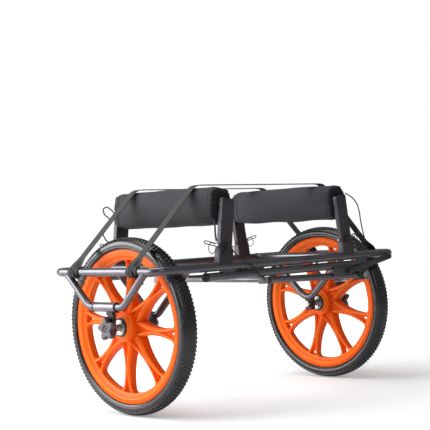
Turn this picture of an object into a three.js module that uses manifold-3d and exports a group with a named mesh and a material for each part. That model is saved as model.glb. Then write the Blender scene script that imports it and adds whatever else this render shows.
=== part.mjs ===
// Two-wheeled cart for carrying a kayak, in millimetres.
// +X runs along the axle to the right wheel, +Y is the way it rolls, +Z is up.
// The origin is on the ground, midway between the two tyres.
import * as THREE from 'three';
import { mergeVertices } from 'three/addons/utils/BufferGeometryUtils.js';
import Module from 'manifold-3d';

const wasm = await Module();
wasm.setup();

// Wheels: 16 inch tyres on moulded rims
const TYRE_R = 200;
const TYRE_HALF_W = 23;
const RIM_R = 172;
const RIM_SEAT_R = 165;
const RIM_LIP_R = 161;
const RIM_INNER_R = 149;
const RIM_HALF_W = 18;
const SPOKE_COUNT = 8;
const LEFT_SPOKE_TURN = THREE.MathUtils.degToRad(5.5);
const RIGHT_SPOKE_TURN = THREE.MathUtils.degToRad(16.8);
const WHEEL_SEGMENTS = 44;
const WEB_HALF_T = 9;
const BOSS_R = 33;
const HUB_R = 16.5;
const SPACER_R = 8;
const HUB_HALF_W = 36.5;
const SEAL_R = 21;
const TRACK_HALF = 339.5;
const HUB_Z = TYRE_R;

// Frame tubes
const RAIL_R = 9.5;
const ARCH_R = 8.5;
const LOOP_HALF_X = 410;
const LOOP_HALF_Y = 178;
const LOOP_Z = 325;
const LOOP_BEND_R = 32;
const INNER_BAR_X = 271.5;
const LOWER_RAIL_Z = 304;
const LOWER_RAIL_LEFT_X = -272;
const LOWER_RAIL_RIGHT_X = 292;
const SPACER_XS = [-207, 23, 272];

// Arches that hang from the bars and carry the axles
const OUTER_ARCH_BOTTOM_Z = 248.5;
const OUTER_ARCH_HALF_FLAT = 58;
const OUTER_ARCH_HALF_TOP = 136;
const INNER_ARCH_BOTTOM_Z = 218;
const INNER_ARCH_HALF_FLAT = 12;
const INNER_ARCH_HALF_TOP = 125;
const SLEEVE_R = 10.5;
const SLEEVE_HALF = 34;

// Axles and what holds them
const AXLE_R = 6;
const OUTER_DROPOUT_X = 395.5;
const OUTER_DROPOUT_HALF_T = 4;
const INNER_DROPOUT_X = 279;
const DROPOUT_HALF_T = 7;
const DROPOUT_HALF_W = 10;
const HEAD_T = 8;
const KNOB_R = 27;
const KNOB_LOBES = 5;
const KNOB_T = 15;
const KNOB_TURN = THREE.MathUtils.degToRad(9.5);

// Bunks: posts that lean in, in sockets on the upper rails
const BUNK_X = 217.5;
const BUNK_LEAN = THREE.MathUtils.degToRad(8);
const POST_W = 38;
const POST_T = 12;
const POST_LOW = 5;
const POST_HIGH = 142;
const POST_BOLT_UP = 36;
const SOCKET_W = 44;
const SOCKET_T = 20;
const SOCKET_H = 29;
const PIN_R = 3;
const PIN_UP = 35.5;
const KEEPER_R = 11.5;
const KEEPER_OUT = 6.5;
const BAR_UP = 122;
const BAR_W = 30;
const BAR_H = 20;
const PAD_W = 72;
const PAD_H = 88;
const PAD_HALF_L = 168;
const PAD_OUT = 5;
const PAD_UP = 125.5;
const PAD_TILT = THREE.MathUtils.degToRad(3);
const PAD_AROUND = 24;

// Folding stand under the frame
const STAND_R = 8;
const STAND_PIVOT_X = 267;
const STAND_PIVOT_Z = 276;
const STAND_END_X = 279;
const STAND_LEG_X = -71;
const STAND_FOOT_X = -86;
const STAND_FOOT_Z = 285.5;
const FOOT_BAR_R = 6.5;
const PIVOT_R = 4;
const CORNER_L = 28;
const CORNER_W = 20;
const CORNER_H = 15;
const PLATE_IN = 8.5;
const PLATE_T = 3;
const STAY_TOP = [372, 316.5];
const STAY_LOW = [208, 288];
const STAY_H = 14;
const STAY_T = 3.5;
const STAY_Y = 189.8;
const BOLT_R = 3;

// Webbing and cord
const STRAP_W = 25;
const STRAP_T = 1.6;
const STRAP_Y = 100;
const CORD_R = 1.5;
const GAP = 0.3;

const paint = (color, roughness, metalness) => () =>
  new THREE.MeshStandardMaterial({ color, roughness, metalness });
const blackTube = paint(0x1d1c20, 0.3, 0.5);
const blackPlastic = paint(0x17171a, 0.6, 0);
const orangePlastic = paint(0xf05a14, 0.45, 0);
const tyreRubber = paint(0x242327, 0.8, 0);
const zinc = paint(0xc9cbd0, 0.3, 0.9);
const silverTube = paint(0xa6a7ad, 0.3, 0.8);
const padFabric = paint(0x38353b, 0.9, 0);
const webbing = paint(0x4a4d4b, 0.85, 0);
const blackCord = paint(0x151517, 0.85, 0);
const greyPlastic = paint(0x6d6c72, 0.5, 0);

const cart = new THREE.Group();

function add(name, geometry, material, parent = cart) {
  const mesh = new THREE.Mesh(closed(geometry), material());
  mesh.name = name;
  parent.add(mesh);
  return mesh;
}

// Merges shared corners, drops empty triangles and turns the faces outward.
function closed(geometry) {
  const bare = new THREE.BufferGeometry();
  bare.setAttribute('position', geometry.getAttribute('position').clone());
  if (geometry.index) bare.setIndex(geometry.index.clone());
  const merged = mergeVertices(bare, 1e-4);
  const place = merged.getAttribute('position');
  const at = (i) => new THREE.Vector3().fromBufferAttribute(place, i);
  const kept = [];
  let volume = 0;
  for (let i = 0; i < merged.index.count; i += 3) {
    const [a, b, c] = [0, 1, 2].map((k) => merged.index.getX(i + k));
    if (a === b || b === c || c === a) continue;
    kept.push([a, b, c]);
    volume += at(a).dot(at(b).cross(at(c)));
  }
  const faces = volume < 0 ? kept.map(([a, b, c]) => [a, c, b]) : kept;
  merged.setIndex(faces.flat());
  merged.computeVertexNormals();
  return merged;
}

function toSolid(geometry) {
  const shape = closed(geometry);
  const vertProperties = Float32Array.from(shape.getAttribute('position').array);
  const triVerts = Uint32Array.from(shape.index.array);
  return new wasm.Manifold(new wasm.Mesh({ numProp: 3, vertProperties, triVerts }));
}

function toGeometry(solid) {
  const mesh = solid.getMesh();
  const geometry = new THREE.BufferGeometry();
  geometry.setAttribute('position', new THREE.BufferAttribute(mesh.vertProperties, 3));
  geometry.setIndex(new THREE.BufferAttribute(mesh.triVerts, 1));
  return geometry;
}

function join(...geometries) {
  return toGeometry(geometries.map(toSolid).reduce((all, next) => all.add(next)));
}

function cut(geometry, ...tools) {
  return toGeometry(tools.map(toSolid).reduce((left, tool) => left.subtract(tool), toSolid(geometry)));
}

const vec = (x, y, z) => new THREE.Vector3(x, y, z);

// A path that stands exactly at the points given, one ring of the tube at each.
class StationPath extends THREE.Curve {
  constructor(points) {
    super();
    this.points = points;
  }

  index(u) {
    return Math.round(u * (this.points.length - 1));
  }

  getPoint(u) {
    return this.points[this.index(u)].clone();
  }

  getPointAt(u) {
    return this.getPoint(u);
  }

  getTangentAt(u) {
    const here = this.index(u);
    const before = this.points[Math.max(here - 1, 0)];
    const after = this.points[Math.min(here + 1, this.points.length - 1)];
    return after.clone().sub(before).normalize();
  }
}

// Rounds each inner corner of a line to an arc of the given radius.
function bent(corners, radius, steps = 4) {
  const stations = [corners[0]];
  for (let i = 1; i < corners.length - 1; i += 1) {
    const inward = corners[i].clone().sub(corners[i - 1]).normalize();
    const outward = corners[i + 1].clone().sub(corners[i]).normalize();
    const turn = inward.angleTo(outward);
    const side = outward.clone().addScaledVector(inward, -outward.dot(inward)).normalize();
    const start = corners[i].clone().addScaledVector(inward, -radius * Math.tan(turn / 2));
    for (let k = 0; k <= steps; k += 1) {
      const angle = (turn * k) / steps;
      const along = radius * Math.sin(angle);
      const across = radius * (1 - Math.cos(angle));
      stations.push(start.clone().addScaledVector(inward, along).addScaledVector(side, across));
    }
  }
  stations.push(corners[corners.length - 1]);
  return stations;
}

function circle(radius, sides) {
  const points = [];
  for (let i = 0; i < sides; i += 1) {
    const angle = (2 * Math.PI * (i + 0.5)) / sides;
    points.push(new THREE.Vector2(radius * Math.cos(angle), radius * Math.sin(angle)));
  }
  return new THREE.Shape(points);
}

function pipe(stations, radius, sides = 12) {
  const extrudePath = new StationPath(stations);
  return new THREE.ExtrudeGeometry(circle(radius, sides), { steps: stations.length - 1, extrudePath });
}

// A smooth cord through a few points chosen by hand.
function cord(points, radius, steps, sides = 8) {
  const curve = new THREE.CatmullRomCurve3(points);
  return pipe(curve.getSpacedPoints(steps), radius, sides);
}

// Turns a profile of [radius, x] pairs round the X axis; it closes on itself.
function turned(profile, segments = 32) {
  const outline = [...profile, profile[0]].map(([r, x]) => new THREE.Vector2(r, x));
  return new THREE.LatheGeometry(outline, segments).rotateZ(-Math.PI / 2);
}

function box(sizeX, sizeY, sizeZ, x, y, z) {
  return new THREE.BoxGeometry(sizeX, sizeY, sizeZ).translate(x, y, z);
}

function ringAlongX(outer, inner, fromX, toX, segments = 24) {
  return turned([[inner, fromX], [outer, fromX], [outer, toX], [inner, toX]], segments);
}

// The upper loop is one bent tube; grow makes a slightly fatter copy that cuts its neighbours.
function upperLoop(grow = 0) {
  const half = (side) => pipe(bent([
    vec(-0.5 * side, -LOOP_HALF_Y, LOOP_Z),
    vec(LOOP_HALF_X * side, -LOOP_HALF_Y, LOOP_Z),
    vec(LOOP_HALF_X * side, LOOP_HALF_Y, LOOP_Z),
    vec(-0.5 * side, LOOP_HALF_Y, LOOP_Z),
  ], LOOP_BEND_R, 5), RAIL_R + grow);
  return join(half(1), half(-1));
}

const loopCutter = upperLoop(GAP);

function innerBar(side, grow = 0) {
  const reach = grow ? LOOP_HALF_Y + grow : LOOP_HALF_Y;
  const x = INNER_BAR_X * side;
  return pipe([vec(x, -reach, LOOP_Z), vec(x, reach, LOOP_Z)], RAIL_R + grow);
}

function lowerRail(side, grow = 0) {
  const y = LOOP_HALF_Y * side;
  const ends = [vec(LOWER_RAIL_LEFT_X, y, LOWER_RAIL_Z), vec(LOWER_RAIL_RIGHT_X, y, LOWER_RAIL_Z)];
  return pipe(ends, RAIL_R + grow);
}

// Saddle blocks welded on a lower rail, shaped to the upper rail that rests on them
function lowerRailWithSaddles(side) {
  const y = LOOP_HALF_Y * side;
  const tools = [loopCutter, innerBar(-1, GAP), innerBar(1, GAP)];
  const saddles = SPACER_XS.map((x) => cut(box(38, 13, 14, x, y, (LOOP_Z + LOWER_RAIL_Z) / 2), ...tools));
  return join(lowerRail(side), ...saddles);
}

// Ribbed cap on one end of a lower rail
function railEndPlug(side, end) {
  const x = end < 0 ? LOWER_RAIL_LEFT_X : LOWER_RAIL_RIGHT_X;
  const profile = [[0, 0], [10.2, 0], [10.2, 2], [9.4, 2.8], [10.2, 3.6], [9.4, 4.6], [8.4, 6.4], [0, 6.4]];
  const points = profile.map(([r, h]) => new THREE.Vector2(r, h));
  const cap = new THREE.LatheGeometry(points, 16).rotateZ((-Math.PI / 2) * end);
  return cap.translate(x + GAP * end, LOOP_HALF_Y * side, LOWER_RAIL_Z);
}

function outerArch(side) {
  const x = LOOP_HALF_X * side;
  const tube = pipe(bent([
    vec(x, -OUTER_ARCH_HALF_TOP, LOOP_Z),
    vec(x, -OUTER_ARCH_HALF_FLAT, OUTER_ARCH_BOTTOM_Z),
    vec(x, OUTER_ARCH_HALF_FLAT, OUTER_ARCH_BOTTOM_Z),
    vec(x, OUTER_ARCH_HALF_TOP, LOOP_Z),
  ], 34, 4), ARCH_R);
  return cut(tube, loopCutter);
}

function innerArch(side, grow = 0) {
  const x = INNER_BAR_X * side;
  return pipe(bent([
    vec(x, -INNER_ARCH_HALF_TOP, LOOP_Z),
    vec(x, -INNER_ARCH_HALF_FLAT, INNER_ARCH_BOTTOM_Z),
    vec(x, INNER_ARCH_HALF_FLAT, INNER_ARCH_BOTTOM_Z),
    vec(x, INNER_ARCH_HALF_TOP, LOOP_Z),
  ], 30, 4), ARCH_R + grow);
}

// The inner arch is welded to the bar that it hangs from.
function innerBarWithArch(side) {
  return cut(join(innerBar(side), innerArch(side)), loopCutter);
}

// Fatter sleeve round the flat bottom of an outer arch, with a ring at each end
function archSleeve(side) {
  const inner = ARCH_R + GAP;
  const ringR = SLEEVE_R + 0.6;
  const sleeve = turned([
    [inner, -SLEEVE_HALF - 4], [ringR, -SLEEVE_HALF - 4], [ringR, -SLEEVE_HALF], [SLEEVE_R, -SLEEVE_HALF],
    [SLEEVE_R, SLEEVE_HALF], [ringR, SLEEVE_HALF], [ringR, SLEEVE_HALF + 4], [inner, SLEEVE_HALF + 4],
  ], 16);
  return sleeve.rotateZ(Math.PI / 2).translate(LOOP_HALF_X * side, 0, OUTER_ARCH_BOTTOM_Z);
}

// A plain cylinder along X, centred on the origin
function rodAlongX(radius, length, sides = 24) {
  return new THREE.CylinderGeometry(radius, radius, length, sides).rotateZ(Math.PI / 2);
}

// A plain cylinder along Y, centred on the origin
function rodAlongY(radius, length, sides = 16) {
  return new THREE.CylinderGeometry(radius, radius, length, sides);
}

// A cylinder on the wheels' axis
function axleRod(x, radius, length) {
  return rodAlongX(radius, length, 16).translate(x, 0, HUB_Z);
}

// Block under a sleeve that takes the outer end of the axle
function outerDropout(side) {
  const block = box(2 * OUTER_DROPOUT_HALF_T, 2 * DROPOUT_HALF_W, 50, OUTER_DROPOUT_X * side, 0, 214);
  const saddle = box(11, 2 * DROPOUT_HALF_W, 16, (OUTER_DROPOUT_X + 1.5) * side, 0, 238);
  const bore = axleRod(OUTER_DROPOUT_X * side, AXLE_R + GAP, 60);
  const sleeveSeat = rodAlongY(SLEEVE_R + GAP, 80).translate(LOOP_HALF_X * side, 0, OUTER_ARCH_BOTTOM_Z);
  const from = TRACK_HALF + HUB_HALF_W + GAP;
  const spacer = axleRod(((from + OUTER_DROPOUT_X) / 2) * side, SPACER_R, OUTER_DROPOUT_X - from);
  return cut(join(block, saddle, spacer), sleeveSeat, bore);
}

function innerDropout(side) {
  const block = box(2 * DROPOUT_HALF_T + 2, 2 * DROPOUT_HALF_W, 38, INNER_DROPOUT_X * side, 0, 203);
  const bore = axleRod(INNER_DROPOUT_X * side, AXLE_R + GAP, 60);
  const to = TRACK_HALF - HUB_HALF_W - GAP;
  const spacer = axleRod(((to + INNER_DROPOUT_X) / 2) * side, SPACER_R, to - INNER_DROPOUT_X);
  return cut(join(block, spacer), innerArch(side, GAP), bore);
}

// The axle is a long bolt with its hexagon head on the inner side.
function axle(side) {
  const headX = INNER_DROPOUT_X - DROPOUT_HALF_T - 1 - GAP - HEAD_T / 2;
  const to = OUTER_DROPOUT_X + OUTER_DROPOUT_HALF_T + KNOB_T + 3;
  const rod = axleRod(((headX + to) / 2) * side, AXLE_R, to - headX);
  const head = new THREE.CylinderGeometry(9.8, 9.8, HEAD_T, 6).rotateZ(Math.PI / 2);
  return join(rod, head.translate(headX * side, 0, HUB_Z));
}

// Clamping knob with rounded lobes: r = R (0.8 + 0.2 cos(lobes * angle))
function knob(side) {
  const steps = KNOB_LOBES * 6;
  const outline = [];
  for (let i = 0; i < steps; i += 1) {
    const angle = (2 * Math.PI * i) / steps;
    const radius = KNOB_R * (0.8 + 0.2 * Math.cos(KNOB_LOBES * angle));
    outline.push(new THREE.Vector2(radius * Math.cos(angle), radius * Math.sin(angle)));
  }
  const bevel = { bevelEnabled: true, bevelThickness: 3, bevelSize: 3, bevelOffset: -3, bevelSegments: 1 };
  const star = new THREE.ExtrudeGeometry(new THREE.Shape(outline), { depth: KNOB_T - 6, ...bevel });
  const middle = OUTER_DROPOUT_X + OUTER_DROPOUT_HALF_T + GAP + 2 + KNOB_T / 2;
  const collar = rodAlongX(11, 4, 20).translate((middle - KNOB_T / 2) * side, 0, HUB_Z);
  star.translate(0, 0, -(KNOB_T - 6) / 2).rotateY(Math.PI / 2).rotateX(Math.PI / 2 + KNOB_TURN);
  const body = join(star.translate(middle * side, 0, HUB_Z), collar);
  return cut(body, axleRod(middle * side, AXLE_R + GAP, 60));
}

// Width of a spoke at a radius: it is narrowest near the hub and flares at the rim.
function spokeWidth(radius) {
  const waist = 98;
  const away = (radius - waist) / waist;
  return 18 + (radius > waist ? 57 : 69) * away ** 2;
}

function windowPath(index) {
  const middle = (2 * Math.PI * (index + 0.5)) / SPOKE_COUNT;
  const radii = [48, 60, 78, 98, 122, 144];
  const halfAngle = (r) => Math.PI / SPOKE_COUNT - spokeWidth(r) / 2 / r;
  const polar = (r, a) => new THREE.Vector2(r * Math.cos(a), r * Math.sin(a));
  const down = radii.map((r) => polar(r, middle - halfAngle(r)));
  const corner = halfAngle(144);
  const arc = [-0.86, -0.4, 0.4, 0.86].map((k) => polar(RIM_INNER_R - 1, middle + corner * k));
  const up = radii.map((r) => polar(r, middle + halfAngle(r))).reverse();
  return new THREE.Path([...down, ...arc, ...up]);
}

// The rim's inner wall slopes from a lip on each face to a narrower ring that carries the web
function rim(side) {
  const half = [
    [RIM_SEAT_R, RIM_HALF_W - 5], [RIM_R, RIM_HALF_W - 3], [RIM_R, RIM_HALF_W],
    [RIM_LIP_R, RIM_HALF_W], [RIM_INNER_R, WEB_HALF_T],
  ];
  const mirror = half.map(([r, x]) => [r, -x]).reverse();
  const barrel = turned([...mirror, ...half], WHEEL_SEGMENTS);
  const face = new THREE.Shape(circle(RIM_INNER_R + 4, 48).getPoints());
  for (let i = 0; i < SPOKE_COUNT; i += 1) face.holes.push(windowPath(i));
  const web = new THREE.ExtrudeGeometry(face, { depth: 2 * WEB_HALF_T, bevelEnabled: false });
  web.translate(0, 0, -WEB_HALF_T).rotateY(Math.PI / 2).rotateX(side < 0 ? LEFT_SPOKE_TURN : RIGHT_SPOKE_TURN);
  const boss = rodAlongX(BOSS_R, 50, 24);
  const nose = rodAlongX(BOSS_R - 8, 64, 24);
  const body = join(barrel, web, boss, nose);
  const x = TRACK_HALF * side;
  return cut(body, rodAlongX(HUB_R + GAP, 120, 16)).translate(x, 0, HUB_Z);
}

// Bearing barrel through the boss, with a seal ring on both sides of the boss
function hub(side) {
  const bore = AXLE_R + GAP;
  const half = [[SEAL_R, 32 + GAP], [SEAL_R, 36], [HUB_R, 36], [HUB_R, HUB_HALF_W], [bore, HUB_HALF_W]];
  const mirror = half.map(([r, x]) => [r, -x]).reverse();
  const barrel = turned([...mirror, [HUB_R, -32 - GAP], [HUB_R, 32 + GAP], ...half], 16);
  return barrel.translate(TRACK_HALF * side, 0, HUB_Z);
}

function tyre(side) {
  const bead = RIM_HALF_W - 5;
  const half = [
    [RIM_SEAT_R + GAP, bead - 0.8], [RIM_R + 0.6, bead + 1.2], [RIM_R + 1, RIM_HALF_W + 1],
    [184, TYRE_HALF_W], [195, 17], [TYRE_R, 5],
  ];
  const mirror = half.map(([r, x]) => [r, -x]).reverse();
  return turned([...half, ...mirror], WHEEL_SEGMENTS).translate(TRACK_HALF * side, 0, HUB_Z);
}

// A bunk leans in: local Z runs up its posts from the top of the rails, local X points across.
function bunkFrame(side) {
  const frame = new THREE.Group();
  frame.position.set(BUNK_X * side, 0, LOOP_Z + RAIL_R);
  frame.rotation.y = -BUNK_LEAN * side;
  cart.add(frame);
  frame.updateMatrixWorld();
  return frame;
}

function socket(frame, side, end) {
  const y = LOOP_HALF_Y * end;
  const wall = box(SOCKET_W, SOCKET_T, SOCKET_H + 8, 0, y, (SOCKET_H - 8) / 2);
  const slot = box(POST_W + 2 * GAP, POST_T + 2 * GAP, SOCKET_H, 0, y, POST_LOW - GAP + SOCKET_H / 2);
  const toLocal = frame.matrixWorld.clone().invert();
  const body = cut(wall, slot, loopCutter.clone().applyMatrix4(toLocal));
  return side < 0 && end < 0 ? join(body, cordHook().applyMatrix4(toLocal)) : body;
}

// Flat post with a bolt on its outer face; the bolt's washer stands clear of the socket.
function post(end) {
  const y = LOOP_HALF_Y * end;
  const bar = box(POST_W, POST_T, POST_HIGH - POST_LOW, 0, y, (POST_HIGH + POST_LOW) / 2);
  const bored = cut(bar, rodAlongX(PIN_R + GAP, POST_W + 20, 12).translate(0, y, PIN_UP));
  const face = LOOP_HALF_Y + SOCKET_T / 2 + 2 * GAP;
  const onBolt = (radius, from, to, sides) =>
    rodAlongY(radius, to - from, sides).translate(0, ((from + to) / 2) * end, POST_BOLT_UP);
  const shank = onBolt(4.5, LOOP_HALF_Y + POST_T / 2 - 1, face + 1, 8);
  return join(bored, shank, onBolt(8.5, face, face + 2, 16), onBolt(6.5, face + 1, face + 7, 6));
}

function bunkBar() {
  return box(BAR_W, 2 * (LOOP_HALF_Y - POST_T / 2 - GAP), BAR_H, 0, 0, BAR_UP);
}

// Hitch pin: shank, head, a long wire loop to pull it by and a round wire keeper
function hitchPin(side, end) {
  const face = POST_W / 2 + GAP;
  const shank = rodAlongX(PIN_R, POST_W + 10, 8).translate(-2.5 * side, 0, 0);
  const head = rodAlongX(4.6, 6, 10).translate((face + 3) * side, 0, 0);
  const rise = Math.tan(THREE.MathUtils.degToRad(5));
  const loopPoint = (along, across) => vec((face + 5 + along) * side, 0, along * rise + across);
  const loopCorners = [loopPoint(0, 3.1), loopPoint(38, 3.1), loopPoint(38, -3.1), loopPoint(0, -3.1)];
  const wire = pipe(bent(loopCorners, 2.9, 2), 1.1, 5);
  const keeper = new THREE.TorusGeometry(KEEPER_R, 0.9, 4, 12).rotateX(Math.PI / 2);
  keeper.translate((face + KEEPER_OUT + KEEPER_R) * side, 0, -8);
  return join(shank, head, wire, keeper).translate(0, LOOP_HALF_Y * end, PIN_UP);
}

// One ring of the padded sleeve: a squared ellipse, in the bunk's own frame
function padRing(side, t) {
  const drawn = 1 - 0.3 * Math.abs(t) ** 14;
  const crown = 1 + 0.03 * (1 - t * t);
  const squared = (value) => Math.sign(value) * Math.abs(value) ** 0.55;
  const tilt = new THREE.Matrix4().makeRotationY(PAD_TILT * side);
  const ring = [];
  for (let i = 0; i < PAD_AROUND; i += 1) {
    const angle = (2 * Math.PI * i) / PAD_AROUND;
    const x = (PAD_W / 2) * drawn * squared(Math.cos(angle));
    const z = (PAD_H / 2) * drawn * crown * squared(Math.sin(angle));
    ring.push(vec(x, PAD_HALF_L * t, z).applyMatrix4(tilt).add(vec(PAD_OUT * side, 0, PAD_UP)));
  }
  return ring;
}

// Padded sleeve: it swells in the middle, is drawn in at both ends and has a bore for the bar.
function pad(side) {
  const stations = [-1, -0.97, -0.9, -0.7, 0, 0.7, 0.9, 0.97, 1];
  const rings = stations.map((t) => padRing(side, t));
  const corners = rings.flat();
  const index = [];
  for (let s = 0; s < rings.length - 1; s += 1) {
    for (let i = 0; i < PAD_AROUND; i += 1) {
      const a = s * PAD_AROUND + i;
      const b = s * PAD_AROUND + ((i + 1) % PAD_AROUND);
      index.push(a, b, a + PAD_AROUND, b, b + PAD_AROUND, a + PAD_AROUND);
    }
  }
  const last = (rings.length - 1) * PAD_AROUND;
  for (let i = 1; i < PAD_AROUND - 1; i += 1) index.push(0, i + 1, i, last, last + i, last + i + 1);
  const geometry = new THREE.BufferGeometry().setFromPoints(corners);
  geometry.setIndex(index);
  return cut(geometry, box(BAR_W + 2 * GAP, 2 * PAD_HALF_L + 40, BAR_H + 2 * GAP, 0, 0, BAR_UP));
}

// Height of a stand leg's centre line
function legZ(x) {
  return STAND_PIVOT_Z + ((STAND_FOOT_Z - STAND_PIVOT_Z) * (STAND_PIVOT_X - x)) / (STAND_PIVOT_X - STAND_FOOT_X);
}

// One leg of the stand, with the cap on its short end
function standLeg(side) {
  const y = LOOP_HALF_Y * side;
  const tube = pipe([vec(STAND_LEG_X, y, legZ(STAND_LEG_X)), vec(STAND_END_X, y, legZ(STAND_END_X))], STAND_R);
  const cap = rodAlongX(STAND_R - 0.6, 4, 12).translate(STAND_END_X + 0.4, y, legZ(STAND_END_X));
  return cut(join(tube, cap), rodAlongY(PIVOT_R + GAP, 40).translate(STAND_PIVOT_X, y, STAND_PIVOT_Z));
}

function standFootBar() {
  const reach = LOOP_HALF_Y - CORNER_W / 2 - GAP;
  return rodAlongY(FOOT_BAR_R, 2 * reach, 12).translate(STAND_FOOT_X, 0, STAND_FOOT_Z + 1);
}

// Moulded corner that joins a leg to the foot bar
function standCorner(side) {
  return box(CORNER_L, CORNER_W, CORNER_H, STAND_FOOT_X, LOOP_HALF_Y * side, STAND_FOOT_Z);
}

// A plate beside a lower rail; out is +1 for its outer side and -1 for its inner side.
function railPlate(fromX, toX, fromZ, side, out) {
  const y = LOOP_HALF_Y * side + (PLATE_IN + PLATE_T / 2) * out * side;
  const height = LOWER_RAIL_Z - fromZ;
  return box(toX - fromX, PLATE_T, height, (fromX + toX) / 2, y, fromZ + height / 2);
}

// Forked bracket under a lower rail, closed behind the short end of the leg
function standBracket(side) {
  const y = LOOP_HALF_Y * side;
  const back = box(3, 2 * (PLATE_IN + PLATE_T), LOWER_RAIL_Z - 264, 286.5, y, (LOWER_RAIL_Z + 264) / 2);
  const fork = join(railPlate(253, 288, 264, side, 1), railPlate(253, 288, 264, side, -1), back);
  return cut(fork, lowerRail(side, GAP), rodAlongY(PIVOT_R + GAP, 60).translate(STAND_PIVOT_X, y, STAND_PIVOT_Z));
}

// Flat bar from the end of an upper rail down to a plate on the lower rail, with a bolt at both ends
function stay(side) {
  const [topX, topZ] = STAY_TOP;
  const [lowX, lowZ] = STAY_LOW;
  const slope = Math.atan2(topZ - lowZ, topX - lowX);
  const length = Math.hypot(topZ - lowZ, topX - lowX);
  const half = STAY_H / 2;
  const outline = new THREE.Shape();
  outline.absarc(length, 0, half, -Math.PI / 2, Math.PI / 2);
  outline.absarc(0, 0, half, Math.PI / 2, (3 * Math.PI) / 2);
  const flat = new THREE.ExtrudeGeometry(outline, { depth: STAY_T, bevelEnabled: false, curveSegments: 6 });
  const y = side > 0 ? STAY_Y : -STAY_Y - STAY_T;
  flat.rotateX(Math.PI / 2).rotateY(-slope).translate(lowX, y + STAY_T, lowZ);
  const bolt = ([x, z], from) => {
    const to = STAY_Y + STAY_T + 1;
    const shank = rodAlongY(BOLT_R, to - from, 8).translate(x, ((to + from) / 2) * side, z);
    const head = rodAlongY(5.6, 4, 6).translate(x, (STAY_Y + STAY_T + 2) * side, z);
    return join(shank, head);
  };
  const plate = cut(railPlate(150, 222, 279, side, 1), lowerRail(side, GAP));
  const railFace = LOOP_HALF_Y + RAIL_R + 2 * GAP;
  const plateFace = LOOP_HALF_Y + PLATE_IN + PLATE_T / 2;
  return join(flat, plate, bolt(STAY_TOP, railFace), bolt(STAY_LOW, plateFace));
}

// Pivot pin with a washer outside and a wire clip through its end
function standPivotPin(side) {
  const outer = LOOP_HALF_Y + PLATE_IN + PLATE_T;
  const inner = LOOP_HALF_Y - PLATE_IN - PLATE_T - 2;
  const shank = rodAlongY(PIVOT_R, outer + 9 - inner, 12).translate(0, (outer + 9 + inner) / 2, 0);
  const washer = rodAlongY(7.5, 1.4).translate(0, outer + STAY_T + 2 * GAP + 1.4, 0);
  const clipY = outer + STAY_T + 5;
  const clip = pipe(bent([
    vec(0, clipY, -14), vec(0, clipY, 9), vec(6.6, clipY, 9), vec(6.6, clipY, -12),
  ], 2.8, 2), 0.9, 6);
  const pin = join(shank, washer, clip);
  if (side < 0) pin.scale(1, -1, 1);
  return pin.translate(STAND_PIVOT_X, 0, STAND_PIVOT_Z);
}

// Open hook on the outer face of the near left socket, for the end of the stand's cord
function cordHook() {
  const y = -(LOOP_HALF_Y + SOCKET_T / 2 + 1.2);
  return cord([
    vec(-217, y + 3, 359), vec(-222, y, 359), vec(-226, y, 355.5), vec(-224.5, y, 350.5), vec(-218, y, 348.5),
  ], 1.3, 8, 6);
}

// Cord from beside the post's bolt down to the stand's near corner, in front of both rails
function standCord() {
  const y = -(LOOP_HALF_Y + SOCKET_T / 2 + 4);
  return cord([
    vec(-202.5, y, 363), vec(-194, y, 352), vec(-185, y, 344.5), vec(-170, y, 336),
    vec(-142, y, 325), vec(-127, y, 311.5), vec(-111, y + 1, 296), vec(-98, y + 2.2, 288),
  ], CORD_R, 20, 6);
}

// Drawstrings, each a limp cord out of a gathered end of a pad
function farLeftDrawstring() {
  return cord([
    vec(-228, 172, 455), vec(-240, 173, 466), vec(-253, 174, 472), vec(-262, 175, 466),
    vec(-258, 175, 454), vec(-246, 174, 445), vec(-243, 174, 438), vec(-253, 175, 432),
    vec(-263, 176, 420), vec(-264, 176, 405), vec(-257, 175, 392), vec(-247, 175, 385),
  ], CORD_R, 26, 6);
}

function nearLeftDrawstring() {
  return cord([
    vec(-234, -171, 428), vec(-241, -178, 425), vec(-245, -184, 415), vec(-246, -185, 398), vec(-244, -185, 382),
  ], 2, 12, 6);
}

function nearRightDrawstring() {
  return cord([
    vec(212, -186, 481), vec(222, -190, 475), vec(234, -193, 467), vec(246, -195, 453),
    vec(254, -195, 434), vec(258, -195, 410), vec(265, -195, 383), vec(274, -195, 357),
  ], CORD_R, 24, 6);
}

// The upper side of the convex hull of some points in the XZ plane, from left to right
function upperHull(points) {
  const sorted = [...points].sort((a, b) => a.x - b.x || a.y - b.y);
  const chain = [];
  for (const point of sorted) {
    while (chain.length > 1) {
      const [before, last] = chain.slice(-2);
      const turn = (last.x - before.x) * (point.y - before.y) - (last.y - before.y) * (point.x - before.x);
      if (turn < 0) break;
      chain.pop();
    }
    chain.push(point);
  }
  return chain;
}

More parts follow.
